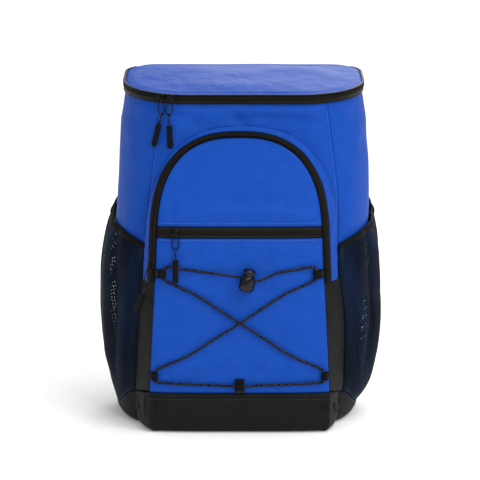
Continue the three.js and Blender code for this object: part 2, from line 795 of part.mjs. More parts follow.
function webbingLoop({ across, height, length, width, mouthAt }, heading) {
  const root = onPocket({ across, height });
  const ahead = root.clone().addScaledVector(heading, length);
  const direction = ahead.setY(pocketFaceY(ahead.x, ahead.z)).sub(root).normalize();
  const mouthAxis = direction.clone().cross(new THREE.Vector3(0, -1, 0)).normalize();
  const out = mouthAxis.clone().cross(direction);
  root.addScaledVector(out, gap * 1.5);
  const turn = loopThickness + loopMouth / 2;
  const reach = mouthAt ?? length - turn;
  const shape = new THREE.Shape();
  shape.moveTo(0, 0);
  if (mouthAt) {
    const fold = length - loopThickness;
    shape.lineTo(fold, 0);
    shape.absarc(fold, loopThickness, loopThickness, -Math.PI / 2, Math.PI / 2);
    shape.lineTo(reach + turn, loopThickness * 2);
    shape.absarc(reach, turn, turn, 0, Math.PI / 2);
  } else {
    shape.lineTo(reach, 0);
    shape.absarc(reach, turn, turn, -Math.PI / 2, Math.PI / 2);
  }
  shape.lineTo(reach - turn, turn * 2 - loopThickness * 0.4);
  shape.lineTo(reach * 0.25, loopThickness * 2);
  shape.lineTo(0, loopThickness * 2);
  const mouth = new THREE.Path();
  mouth.absarc(reach, turn, loopMouth / 2, 0, Math.PI * 2);
  shape.holes.push(mouth);
  const geometry = new THREE.ExtrudeGeometry(shape, { depth: width, bevelEnabled: false, curveSegments: 6 });
  geometry.translate(0, 0, -width / 2);
  const axes = new THREE.Matrix4().makeBasis(direction, out, mouthAxis);
  geometry.applyMatrix4(axes).translate(root.x, root.y, root.z);
  const eye = root.clone().addScaledVector(direction, reach).addScaledVector(out, turn);
  return { geometry, eye };
}

const right = new THREE.Vector3(1, 0, 0);
const up = new THREE.Vector3(0, 0, 1);
const towardFront = new THREE.Vector3(0, -1, 0);
const towardBack = new THREE.Vector3(0, 1, 0);

// The lock: a barrel with a button that presses down into it. It hangs tilted, with the cord through both.
const alongLock = up.clone().applyAxisAngle(new THREE.Vector3(0, 1, 0), lockTilt);
const acrossLock = right.clone().applyAxisAngle(new THREE.Vector3(0, 1, 0), lockTilt);
const lockSides = 16;
const tallHole = (radius, height) => {
  const shape = new THREE.Shape();
  shape.absarc(0, height, radius, 0, Math.PI);
  shape.absarc(0, 0, radius, Math.PI, Math.PI * 2);
  return new THREE.ExtrudeGeometry(shape, { depth: lockRadius * 4, bevelEnabled: false, curveSegments: 6 })
    .translate(0, 0, -lockRadius * 2)
    .rotateY(Math.PI / 2)
    .rotateX(Math.PI / 2);
};

function latheUpright(profile) {
  const points = profile.map(([radius, height]) => new THREE.Vector2(radius, height));
  return new THREE.LatheGeometry(points, lockSides).rotateX(Math.PI / 2);
}

function lockBarrel() {
  const barrel = latheUpright([
    [0, 0],
    [lockRadius * 0.72, 0],
    [lockRadius * 0.93, lockHeight * 0.12],
    [lockRadius, lockHeight * 0.3],
    [lockRadius, lockHeight - 1],
    [lockRadius - 1, lockHeight],
    [lockBore, lockHeight],
    [lockBore, lockFloor],
    [0, lockFloor],
  ]);
  const hole = tallHole(loopMouth / 2, 0).translate(0, 0, lockCordHeight);
  return toGeometry(toSolid(barrel).subtract(toSolid(hole))).rotateY(lockTilt);
}

// The button stands out by its travel. Its stem's slot is longer than the cord is thick by the same travel.
function lockButton() {
  const capFoot = lockHeight + buttonTravel + gap;
  const stemRadius = lockBore - gap;
  const button = latheUpright([
    [0, lockFloor + buttonTravel + gap],
    [stemRadius, lockFloor + buttonTravel + gap],
    [stemRadius, capFoot],
    [buttonRadius, capFoot],
    [buttonRadius, capFoot + buttonHeight * 0.45],
    [buttonRadius * 0.75, capFoot + buttonHeight * 0.85],
    [0, capFoot + buttonHeight],
  ]);
  const slot = tallHole(loopMouth / 2, buttonTravel).translate(0, 0, lockCordHeight);
  return toGeometry(toSolid(button).subtract(toSolid(slot))).rotateY(lockTilt);
}

// The elastic cord is one endless loop: from the lock to the upper left loop, across to the lower right one,
// along the base to the left and across again. lift is its height above the pocket's face.
const cordLift = cordDiameter / 2 + gap * 2;

function onFace(x, z, lift = cordLift) {
  return new THREE.Vector3(x, pocketFaceY(x, z) - lift, z);
}

function cordBetween(from, to, shares, hump = 0) {
  return shares.map((share) => {
    const [x, z] = [lerp(from.x, to.x, share), lerp(from.z, to.z, share)];
    const over = Math.exp(-(((share - 0.5) / 0.06) ** 2));
    return onFace(x, z, cordLift + hump * over);
  });
}

// The cord's way through a loop: straight for the loop's width, and eased in and out of it
function throughLoop(eye, width, direction) {
  return [-0.54, -0.25, 0.25, 0.54].map((share) => eye.clone().addScaledVector(direction, share * width));
}

function cordRoute(eyes, lock) {
  const down = up.clone().negate();
  const left = right.clone().negate();
  const throughLock = [1.25, 0.6, 0, -0.6, -1.25].map((share) =>
    lock.clone().addScaledVector(acrossLock, share * lockRadius),
  );
  const beside = (eye, dx, dz) => onFace(eye.x + dx, eye.z + dz);
  const { upperLeft, upperRight, lowerLeft, lowerRight, middle } = eyes;
  const turn = cordDiameter;
  const past = (loop) => loop.width / 2 + turn;
  const leaving = {
    upperLeft: beside(upperLeft, turn * 2.2, past(upperLoop)),
    upperRight: beside(upperRight, -turn * 2.2, past(upperLoop)),
    lowerLeft: beside(lowerLeft, turn * 2.2, -past(lowerLoop)),
    lowerRight: beside(lowerRight, -turn * 2.2, -past(lowerLoop)),
  };
  const crossing = [0.2, 0.35, 0.44, 0.47, 0.5, 0.53, 0.56, 0.65, 0.8];
  const overTheOther = cordDiameter + gap * 2;
  return [
    ...throughLock,
    ...cordBetween(lock, leaving.upperLeft, [0.5, 0.8]),
    leaving.upperLeft,
    beside(upperLeft, turn * 0.7, past(upperLoop) - turn * 0.2),
    ...throughLoop(upperLeft, upperLoop.width, down),
    beside(upperLeft, turn * 0.8, -past(upperLoop)),
    ...cordBetween(upperLeft, lowerRight, crossing),
    beside(lowerRight, -turn * 0.8, past(lowerLoop)),
    ...throughLoop(lowerRight, lowerLoop.width, down),
    beside(lowerRight, -turn * 0.7, -past(lowerLoop) + turn * 0.2),
    leaving.lowerRight,
    ...cordBetween(leaving.lowerRight, middle, [0.4, 0.8]),
    ...throughLoop(middle, middleLoop.width, left),
    ...cordBetween(middle, leaving.lowerLeft, [0.2, 0.6]),
    leaving.lowerLeft,
    beside(lowerLeft, turn * 0.7, -past(lowerLoop) + turn * 0.2),
    ...throughLoop(lowerLeft, lowerLoop.width, up),
    beside(lowerLeft, turn * 0.8, past(lowerLoop)),
    ...cordBetween(lowerLeft, upperRight, crossing, overTheOther),
    beside(upperRight, -turn * 0.8, -past(upperLoop)),
    ...throughLoop(upperRight, upperLoop.width, up),
    beside(upperRight, -turn * 0.7, past(upperLoop) - turn * 0.2),
    leaving.upperRight,
    ...cordBetween(leaving.upperRight, lock, [0.2, 0.5]),
  ];
}

function elasticCord(route) {
  const sides = 8;
  const curve = new THREE.CatmullRomCurve3(route, true, "centripetal");
  const steps = route.length;
  const loops = [];
  for (let i = 0; i < steps; i += 1) {
    const point = curve.getPoint(i / steps);
    const along = curve.getTangent(i / steps);
    const side = along.clone().cross(towardFront).normalize();
    const out = side.clone().cross(along);
    loops.push(
      Array.from({ length: sides }, (_, j) => {
        const angle = (j / sides) * Math.PI * 2;
        const spoke = side.clone().multiplyScalar(Math.cos(angle)).addScaledVector(out, Math.sin(angle));
        return point.clone().addScaledVector(spoke, cordDiameter / 2);
      }),
    );
  }
  return stackLoops(loops, "joined");
}

// A zip's slider, the ring on its bridge and the pull on the ring. seat is a point on the tape with the way
// out of it; knee and tip are places that the ring's and the pull's far ends hang towards.
const bridgeHole = ringWire + gap * 2;
const seatLift = coilHeight + gap;
const ringSeat = seatLift + sliderHeight + gap + ringWire / 2 + gap;
const kneeLift = 3.2;
const tipLift = gripThickness / 2 + gap * 3;

function axesOf(down, out) {
  const side = down.clone().cross(out).normalize();
  return { side, down, out: side.clone().cross(down).normalize() };
}

function placeIn({ side, down, out }, origin, geometry) {
  return geometry
    .applyMatrix4(new THREE.Matrix4().makeBasis(side, down, out))
    .translate(origin.x, origin.y, origin.z);
}

// An outline drawn downwards and outwards, made as wide as given across the pull
function acrossPull(shape, width) {
  const geometry = new THREE.ExtrudeGeometry(shape, { depth: width, bevelEnabled: false, curveSegments: 5 });
  const axes = new THREE.Matrix4().makeBasis(up.clone().cross(right), up, right);
  geometry.translate(0, 0, -width / 2);
  return geometry.applyMatrix4(axes);
}

function roundedPlate(width, length, thickness, corner) {
  const [a, b] = [width / 2, length / 2];
  const shape = new THREE.Shape();
  shape.moveTo(a - corner, -b);
  shape.quadraticCurveTo(a, -b, a, -b + corner);
  shape.lineTo(a, b - corner);
  shape.quadraticCurveTo(a, b, a - corner, b);
  shape.lineTo(-a + corner, b);
  shape.quadraticCurveTo(-a, b, -a, b - corner);
  shape.lineTo(-a, -b + corner);
  shape.quadraticCurveTo(-a, -b, -a + corner, -b);
  shape.lineTo(a - corner, -b);
  return new THREE.ExtrudeGeometry(shape, { depth: thickness, bevelEnabled: false, curveSegments: 3 });
}

function slider(zipRunsDown) {
  const [width, length] = zipRunsDown ? [sliderWidth, sliderLength] : [sliderLength, sliderWidth];
  const plate = roundedPlate(width, length, sliderHeight, 2).translate(0, 0, seatLift);
  const reach = bridgeHole / 2 + bridgeThickness;
  const foot = seatLift + sliderHeight - gap;
  const arch = new THREE.Shape();
  arch.moveTo(-reach, foot);
  arch.lineTo(reach, foot);
  arch.lineTo(reach, ringSeat);
  arch.absarc(0, ringSeat, reach, 0, Math.PI);
  const hole = new THREE.Path();
  hole.moveTo(-bridgeHole / 2, seatLift + sliderHeight);
  hole.lineTo(bridgeHole / 2, seatLift + sliderHeight);
  hole.absarc(0, ringSeat, bridgeHole / 2, 0, Math.PI);
  arch.holes.push(hole);
  return toGeometry(toSolid(plate).add(toSolid(acrossPull(arch, bridgeWidth))));
}

function ring() {
  const bar = bridgeWidth / 2 + ringWire / 2 + gap * 2;
  const half = [
    [bar * 0.6, 0],
    [bar, ringLength * 0.05],
    [bar * 1.1, ringLength * 0.25],
    [ringWidth / 2, ringLength * 0.72],
    [ringWidth * 0.42, ringLength * 0.9],
    [ringWidth * 0.2, ringLength * 0.99],
  ];
  const points = [...half, ...half.slice().reverse().map(([x, y]) => [-x, y])];
  const curve = new THREE.CatmullRomCurve3(points.map(([x, y]) => new THREE.Vector3(x, y, 0)), true);
  const steps = 18;
  const sides = 5;
  const loops = Array.from({ length: steps }, (_, i) => {
    const centre = curve.getPoint(i / steps);
    const across = curve.getTangent(i / steps).cross(up).normalize();
    return Array.from({ length: sides }, (__, j) => {
      const angle = (j / sides) * Math.PI * 2;
      const spoke = across.clone().multiplyScalar(Math.cos(angle)).addScaledVector(up, Math.sin(angle));
      return centre.clone().addScaledVector(spoke, ringWire / 2);
    });
  });
  return stackLoops(loops, "joined");
}

function pull() {
  const eyeRadius = ringWire / 2 + gap * 2.6;
  const around = eyeRadius + neckWidth / 2 - gap;
  const neck = new THREE.Shape();
  neck.absarc(0, 0, around, Math.PI * 0.2, Math.PI * 1.8);
  neck.lineTo(pullNeck + gripLength * 0.2, -neckWidth / 2);
  neck.lineTo(pullNeck + gripLength * 0.2, neckWidth / 2);
  const eye = new THREE.Path();
  eye.absarc(0, 0, eyeRadius, 0, Math.PI * 2);
  neck.holes.push(eye);
  const grip = roundedPlate(gripWidth, gripLength, gripThickness, 2);
  grip.translate(0, pullNeck + gripLength / 2, -gripThickness / 2);
  return toGeometry(toSolid(grip).add(toSolid(acrossPull(neck, neckWidth))));
}

function addZipPull(name, { seat, out, zipRunsDown = false, knee, tip }) {
  const down = knee.clone().sub(seat);
  down.addScaledVector(out, -down.dot(out)).normalize();
  addPiece(`${name}_slider`, placeIn(axesOf(down, out), seat, slider(zipRunsDown)), "metal");
  const hinge = seat.clone().addScaledVector(out, ringSeat);
  const ringDown = knee.clone().sub(hinge).normalize();
  addPiece(`${name}_ring`, placeIn(axesOf(ringDown, out), hinge, ring()), "metal");
  const link = hinge.clone().addScaledVector(ringDown, ringLength * 0.985);
  const pullDown = tip.clone().sub(link).normalize();
  addPiece(`${name}_pull`, placeIn(axesOf(pullDown, out), link, pull()), "zip");
}

function outwardAt(surface, step) {
  const across = surface(step, 0).sub(surface(-step, 0));
  const upward = surface(0, step).sub(surface(0, -step));
  return across.cross(upward).normalize();
}

const hangLength = ringLength + pullNeck + gripLength;

// A lid pull hangs from the left part of the rim: seat, knee and tip are shares of half the body's width
function lidPull({ seat, knee, tip }) {
  const lift = gap + tapeThickness;
  const stationAt = (share, z) => (share * halfWidth) / bodySection(z).seam;
  const onZip = (dx, dz) => rimPoint(stationAt(seat, rimFrontHeight) + dx, -1, dz, lift);
  const onPanel = (share, z, clear) => bodyPoint(-stationAt(share, z), z, lift + clear);
  const from = onZip(0, 0);
  return {
    seat: from,
    out: outwardAt((dx, dz) => onZip(-dx, dz), 0.01),
    knee: onPanel(knee, from.z - ringLength, kneeLift),
    tip: onPanel(tip, from.z - hangLength, tipLift),
  };
}

// The front zip's pull lies over the elastic cord
function frontZipPull(across) {
  const x = across * pocketHalfAt(frontZipHeight);
  const lift = tapeThickness / 2;
  const onZip = (dx, dz) => onFace(x + dx, frontZipHeight + dz, lift);
  return {
    seat: onZip(0, 0),
    out: outwardAt(onZip, 1),
    knee: onFace(x, frontZipHeight - ringLength, lift + kneeLift),
    tip: onFace(x, frontZipHeight - hangLength, cordLift + cordDiameter + gap * 3 + tipLift),
  };
}

// The arch zip's pull swings out over the side pocket: aside and back are its tip's distances from the zip
function archZipPull({ above, aside, back }) {
  const distance = archZipWidth / 2;
  const slope = archZipRoll / archZipWidth;
  const onZip = (dx, dz) => {
    const along = (above + dz) / (pocketSpring - gussetSplitHeight);
    const point = besideEdge(along, gussetSplitHeight, distance + dx, distance * slope * 0.5 + dx * slope);
    return point.setX(-point.x);
  };
  const seat = onZip(0, 0);
  return {
    seat,
    out: outwardAt((dx, dz) => onZip(-dx, dz), 1),
    zipRunsDown: true,
    knee: seat.clone().add(new THREE.Vector3(-aside * 0.3, back * 0.25 - kneeLift * 1.7, -ringLength)),
    tip: seat.clone().add(new THREE.Vector3(-aside, back - kneeLift, -hangLength)),
  };
}

// The straps, their webbing and buckles
const strapBack = backY + gap;

function strapPath(side) {
  const points = strapRoute.map(
    ({ across, out, height }) =>
      new THREE.Vector3(side * across * halfWidth, strapBack + out * strapStandOff, height * rimBackHeight),
  );
  return new THREE.CatmullRomCurve3(points, false, "centripetal");
}

function strap(side) {
  const steps = 16;
  const section = flatSection(strapWidth, strapThickness);
  return sweepSection(strapPath(side).getPoints(steps), section, right, towardBack);
}

// Below the strap's end: the buckle, then the webbing that runs through it to the base
function belowStrap(side) {
  const end = strapPath(side).getPoint(1);
  const along = strapPath(side).getTangent(1);
  const out = right.clone().cross(along).normalize();
  return { end, along, out: out.y < 0 ? out.negate() : out };
}

function strapBuckle(side) {
  const { end, along, out } = belowStrap(side);
  const slot = webbingWidth + gap * 4;
  const plate = roundedPlate(buckleWidth, buckleLength, buckleThickness, 3);
  const cutter = new THREE.BoxGeometry(slot, webbingThickness + gap * 4, buckleThickness * 3);
  const cut = [-0.22, 0.22].reduce(
    (solid, share) => solid.subtract(toSolid(cutter.clone().translate(0, share * buckleLength, 0))),
    toSolid(plate.translate(0, 0, -buckleThickness / 2)),
  );
  const centre = end.clone().addScaledVector(along, buckleLength / 2 + gap);
  return placeIn(axesOf(along, out), centre, toGeometry(cut));
}

// The webbing passes down through the buckle's lower slot and ends in the back corner of the base
function strapWebbing(side) {
  const { end, along, out } = belowStrap(side);
  const buckle = end.clone().addScaledVector(along, buckleLength / 2 + gap);
  const behind = (share, lift) =>
    buckle.clone().addScaledVector(along, share * buckleLength).addScaledVector(out, lift);
  const back = -(buckleThickness + webbingThickness) / 2 - gap * 3;
  const anchorHeight = baseBackHeight + webbingAnchor;
  const anchor = bodyPoint(side * (backMiddle - 0.44), anchorHeight, gap + webbingThickness / 2);
  const points = [
    behind(-0.45, back),
    behind(0.1, back),
    behind(0.6, back),
    behind(0.6, back).lerp(anchor, 0.5),
    anchor.clone().add(new THREE.Vector3(0, 1, webbingWidth * 0.6)),
    anchor,
  ];
  const curve = new THREE.CatmullRomCurve3(points, false, "centripetal");
  return sweepSection(curve.getPoints(12), flatSection(webbingWidth, webbingThickness), right);
}

function grabHandle() {
  const points = [
    [-1, gap, 0],
    [-0.97, 0.45 * handleStandOff, 1],
    [-0.8, 0.85 * handleStandOff, 2],
    [-0.4, handleStandOff, 2.6],
    [0.4, handleStandOff, 2.6],
    [0.8, 0.85 * handleStandOff, 2],
    [0.97, 0.45 * handleStandOff, 1],
    [1, gap, 0],
  ].map(([across, out, rise]) => {
    return new THREE.Vector3((across * handleSpan) / 2, backY + out, handleHeight + rise);
  });
  const curve = new THREE.CatmullRomCurve3(points, false, "centripetal");
  const section = flatSection(handleWidth, handleThickness);
  return sweepSection(curve.getPoints(16), section, up, towardBack, towardFront);
}

addPiece("base", base(), "black");
addPiece("front_panel", frontPanel(), "blue");
addPiece("back_panel", backPanel(), "black");
addPiece("lid", lid(), "blue");
addPiece("lid_zip", lidZip(), "zip");
addPiece("pocket_panel_lower", lowerPocketPanel(), "blue");
addPiece("pocket_panel_upper", upperPocketPanel(), "blue");
addPiece("front_zip", frontZip(), "zip");
addPiece("arch_zip", archZip(), "zip");
addPiece("gusset_upper", upperGusset(), "blue");
addPiece("grab_handle", grabHandle(), "black");

const sides = [
  ["left", -1],
  ["right", 1],
];
for (const [name, side] of sides) {
  addPiece(`side_panel_${name}`, sidePanel(side), "blue");
  addPiece(`gusset_lower_${name}`, lowerGusset(side), "black");
  addPiece(`mesh_pocket_${name}`, meshPocket(side), "mesh");
  addPiece(`pocket_binding_${name}`, meshBinding(side), "black");
  addPiece(`shoulder_strap_${name}`, strap(side), "padding");
  addPiece(`strap_buckle_${name}`, strapBuckle(side), "plastic");
  addPiece(`strap_webbing_${name}`, strapWebbing(side), "black");
}

const toRight = right.clone();
const toLeft = right.clone().negate();
const mirror = (loop) => ({ ...loop, across: -loop.across });
const loops = {
  upperLeft: webbingLoop(mirror(upperLoop), toRight),
  upperRight: webbingLoop(upperLoop, toLeft),
  lowerLeft: webbingLoop(mirror(lowerLoop), toRight),
  lowerRight: webbingLoop(lowerLoop, toLeft),
  middle: webbingLoop(middleLoop, up),
};
const snakeCase = (word) => word.replace(/[A-Z]/g, (letter) => `_${letter.toLowerCase()}`);
for (const [name, { geometry }] of Object.entries(loops)) {
  addPiece(`cord_loop_${snakeCase(name)}`, geometry, "black");
}

const lockAxis = onPocket(lockPlace, lockRadius + gap * 3);
const lockFoot = lockAxis.clone().addScaledVector(alongLock, -lockCordHeight);
addPiece("cord_lock_barrel", lockBarrel(), "plastic").position.copy(lockFoot);
addPiece("cord_lock_button", lockButton(), "plastic").position.copy(lockFoot);
const eyes = Object.fromEntries(Object.entries(loops).map(([name, { eye }]) => [name, eye]));
addPiece("elastic_cord", elasticCord(cordRoute(eyes, lockAxis)), "elastic");

addZipPull("lid_left", lidPull({ seat: 0.625, knee: 0.617, tip: 0.686 }));
addZipPull("lid_right", lidPull({ seat: 0.552, knee: 0.566, tip: 0.56 }));
addZipPull("front_pocket", frontZipPull(-0.77));
addZipPull("arch", archZipPull({ above: sliderLength * 1.7, aside: gripWidth * 2.8, back: gripWidth * 2 }));

// The origin is on the floor, under the middle of the whole
const size = new THREE.Box3().setFromObject(bag);
const middle = size.getCenter(new THREE.Vector3());
bag.position.set(-middle.x, -middle.y, -size.min.z);

export default bag;
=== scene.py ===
"""Dresses a cooler backpack: padded panels on a boot, zips, net side pockets, a laced cord and straps."""

import functools
import math

import bmesh
import bpy
import numpy as np
from bpy.props import FloatProperty, FloatVectorProperty, PointerProperty
from mathutils import Matrix, Vector


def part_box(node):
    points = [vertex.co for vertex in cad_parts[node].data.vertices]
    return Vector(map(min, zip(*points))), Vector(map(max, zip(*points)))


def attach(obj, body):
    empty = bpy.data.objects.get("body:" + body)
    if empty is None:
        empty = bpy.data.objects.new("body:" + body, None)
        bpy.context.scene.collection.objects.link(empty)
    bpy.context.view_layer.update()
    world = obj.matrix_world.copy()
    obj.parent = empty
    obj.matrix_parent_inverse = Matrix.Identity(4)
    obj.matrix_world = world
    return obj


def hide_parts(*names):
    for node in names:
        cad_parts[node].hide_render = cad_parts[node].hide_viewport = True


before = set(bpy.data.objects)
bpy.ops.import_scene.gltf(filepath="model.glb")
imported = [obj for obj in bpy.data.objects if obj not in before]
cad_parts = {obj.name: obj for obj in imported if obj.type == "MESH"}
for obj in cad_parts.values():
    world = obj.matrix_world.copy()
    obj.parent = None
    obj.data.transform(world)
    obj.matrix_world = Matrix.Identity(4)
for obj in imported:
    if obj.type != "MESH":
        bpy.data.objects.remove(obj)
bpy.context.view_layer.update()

bl_info = {
    "name": "Cooler backpack",
    "version": (1, 0, 0),
    "blender": (4, 5, 0),
    "location": "View3D > Sidebar > Backpack",
    "description": "Makes the cloth, zips, net, cord and straps of a cooler backpack",
    "category": "Add Mesh",
}

BAG = "bag"
GAP = 0.0003
SIDES = (("left", -1), ("right", 1))
FRONT_SEAM, WIDEST, BACK_SEAM, BACK_MIDDLE = 1, 2, 3, 4


def length(name, description, default):
    """A size in metres that a user may change."""
    return FloatProperty(name=name, description=description, default=default, min=0.0, unit="LENGTH")


def colour(name, description, default):
    """A base colour that a user may change, in linear light."""
    return FloatVectorProperty(
        name=name, description=description, default=default, size=3, min=0.0, max=1.0, subtype="COLOR"
    )


class BagSizes(bpy.types.PropertyGroup):
    """Driving sizes of the bag"""

    body_width: length("Body width", "Widest, across the side panels", 0.308)
    body_depth: length("Body depth", "From the front panel to the back panel", 0.168)
    rim_front: length("Front rim height", "Floor to the lid's zip at the front", 0.395)
    rim_back: length("Back rim height", "Floor to the lid's seam at the back", 0.414)
    wall: length("Panel thickness", "Foam-padded panel", 0.005)
    base_front: length("Base front height", "Floor to the boot's front seam", 0.049)
    base_seam: length("Base seam height", "Floor to the boot's edge at the pocket's gusset", 0.042)
    base_side: length("Base side height", "Floor to the boot's edge at the sides", 0.018)
    base_back: length("Base back height", "Floor to the boot's edge at the back", 0.030)
    base_wall: length("Boot thickness", "Coated cloth of the boot", 0.003)
    base_floor: length("Boot floor", "Thickness of the boot's floor", 0.004)
    base_rounding: length("Boot rounding", "Radius of the edge that rolls under", 0.012)
    lid_edge: length("Lid edge", "Height of the lid's edge above the rim", 0.005)
    lid_crown: length("Lid crown", "Rise of the padded top above its edge", 0.006)
    lid_rolled: length("Lid roll", "Width of the lid's rolled edge", 0.007)
    lid_zip_below: length("Lid tape below", "Width of tape below the lid's coil", 0.007)
    lid_zip_above: length("Lid tape above", "Width of tape above the lid's coil", 0.0045)
    pocket_width: length("Pocket width", "Across the front pocket, at the base", 0.213)
    pocket_top: length("Pocket top", "Floor to the top of the front pocket", 0.350)
    pocket_spring: length("Arch spring", "Floor to where the pocket's arch begins", 0.235)
    pocket_depth: length("Pocket depth", "How far the front pocket stands off", 0.042)
    pocket_roll: length("Pocket roll", "How far the pocket's face rolls back at its edge", 0.005)
    gusset_split: length("Gusset split", "Floor to where the zip begins", 0.181)
    arch_zip_width: length("Arch zip width", "Width of the zip along the arch", 0.009)
    arch_zip_roll: length("Arch zip roll", "How far the arch zip rolls back", 0.004)
    front_zip_height: length("Front zip height", "Floor to the middle of the straight zip", 0.2405)
    front_zip_width: length("Front zip width", "Width of the straight zip", 0.013)
    mesh_bulge: length("Net bulge", "Greatest stand-off of a side pocket", 0.025)
    mesh_front: length("Net front height", "Floor to the side pocket's mouth at the front", 0.221)
    mesh_back: length("Net back height", "Floor to the side pocket's mouth at the back", 0.264)
    net_pitch: length("Net pitch", "From one hole of the net to the next", 0.0033)
    binding_width: length("Binding width", "Elastic tape at the side pocket's mouth", 0.008)
    cord_diameter: length("Cord diameter", "Elastic cord", 0.003)
    lock_radius: length("Lock radius", "Barrel of the cord lock", 0.009)
    lock_height: length("Lock height", "Barrel of the cord lock", 0.019)
    strap_width: length("Strap width", "Padded shoulder strap", 0.062)
    strap_thickness: length("Strap thickness", "Padded shoulder strap", 0.012)
    strap_stand_off: length("Strap stand-off", "Greatest distance from the back panel", 0.052)
    webbing_width: length("Webbing width", "Adjusting webbing", 0.025)


class BagColours(bpy.types.PropertyGroup):
    """Base colours of the bag's materials"""

    blue: colour("Blue cloth", "Padded panels", (0.0062, 0.064, 0.385))
    black: colour("Black cloth", "Boot and gussets", (0.0105, 0.0105, 0.0108))
    net: colour("Net", "Side pockets", (0.0028, 0.0075, 0.019))
    tape: colour("Zip tape", "Tapes and coils", (0.0022, 0.002, 0.0018))
    webbing: colour("Webbing", "Loops, straps and handle", (0.0035, 0.0035, 0.0038))
    padding: colour("Padding", "Shoulder straps and back", (0.009, 0.009, 0.010))
    metal: colour("Metal", "Lacquered sliders and rings", (0.003, 0.003, 0.003))
    plastic: colour("Plastic", "Cord lock and buckles", (0.0022, 0.0026, 0.0034))
    floor: colour("Floor", "Paper under the bag", (0.93, 0.93, 0.93))


def sizes():
    """The bag's sizes."""
    return bpy.context.scene.bag_sizes


def colours():
    """The bag's colours."""
    return bpy.context.scene.bag_colours


# Sections of the body: height is a share of rim_back, half, corner_x and seam of half the body's width,
# centre of the whole width, corner_y and back_corner of its depth
BODY = {
    "height": (0.0, 0.045, 0.145, 0.34, 0.53, 0.69, 0.865, 1.0),
    "half": (0.935, 0.955, 0.974, 0.994, 1.0, 0.985, 0.955, 0.92),
    "centre": (-0.01, -0.01, -0.006, 0.002, 0.008, 0.016, 0.016, 0.016),
    "corner_x": (0.31, 0.31, 0.32, 0.33, 0.345, 0.39, 0.47, 0.53),
    "corner_y": (0.54, 0.54, 0.55, 0.56, 0.565, 0.555, 0.53, 0.51),
    "seam": (0.775, 0.785, 0.79, 0.773, 0.75, 0.727, 0.67, 0.625),
    "back_corner": (0.27, 0.27, 0.26, 0.25, 0.24, 0.23, 0.22, 0.21),
}

# Sections of the front pocket: height is a share of pocket_top, half of half its width, depth of its depth
POCKET = {
    "height": (0.0, 0.14, 0.37, 0.57, 0.69, 0.83, 1.0),
    "half": (1.0, 1.0, 0.965, 0.93, 0.915, 0.9, 0.885),
    "depth": (0.95, 1.0, 1.0, 0.94, 0.84, 0.64, 0.4),
}

# How far a side pocket stands off, as a share of mesh_bulge, by share of its own height
NET = {"height": (0.0, 0.12, 0.3, 0.55, 0.8, 1.0), "bulge": (0.0, 0.42, 0.8, 0.86, 0.68, 0.36)}

# Middle line of a shoulder strap: across is a share of half the body's width, out of strap_stand_off,
# height of rim_back
STRAP = {
    "across": (0.3, 0.3, 0.32, 0.36, 0.43, 0.5, 0.55, 0.58),
    "out": (0.0, 0.12, 0.48, 0.85, 1.0, 0.98, 0.88, 0.74),
    "height": (0.895, 0.895, 0.89, 0.84, 0.73, 0.6, 0.47, 0.36),
}


def read_table(rows, column, at):
    """A column at given shares of height, on a smooth curve through the rows."""
    heights, values = np.array(rows["height"]), np.array(rows[column])
    slopes = np.empty_like(values)
    slopes[1:-1] = (values[2:] - values[:-2]) / (heights[2:] - heights[:-2])
    slopes[0] = (values[1] - values[0]) / (heights[1] - heights[0])
    slopes[-1] = (values[-1] - values[-2]) / (heights[-1] - heights[-2])
    at = np.asarray(at, dtype=float)
    i = np.clip(np.searchsorted(heights, at, side="right") - 1, 0, len(heights) - 2)
    span = heights[i + 1] - heights[i]
    t = np.clip((at - heights[i]) / span, 0, 1)
    bend = t * (1 - t)
    rise = (values[i + 1] - values[i]) * t * t * (3 - 2 * t)
    return values[i] + rise + bend * ((1 - t) * slopes[i] - t * slopes[i + 1]) * span


def lerp(a, b, t):
    """Straight from a to b."""
    return a + (b - a) * t


def ease(x, low, high):
    """0 below low, 1 above high, smooth between."""
    t = np.clip((np.asarray(x, dtype=float) - low) / (high - low), 0, 1)
    return t * t * (3 - 2 * t)


def origin():
    """Where the body's own middle lies in the frame."""
    low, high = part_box("pocket_panel_lower")
    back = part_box("back_panel")[1][1]
    return np.array([(low[0] + high[0]) / 2, back - sizes().body_depth / 2, 0.0])


def section(z):
    """The body's section at a height."""
    s = sizes()
    share = np.asarray(z, dtype=float) / s.rim_back

    def column(name, whole):
        return read_table(BODY, name, share) * whole

    half, corner_x, seam = (column(name, s.body_width / 2) for name in ("half", "corner_x", "seam"))
    corner_y, back_corner = (column(name, s.body_depth) for name in ("corner_y", "back_corner"))
    centre = column("centre", s.body_width)
    return half, corner_x, half - corner_x, seam, corner_y, back_corner, centre


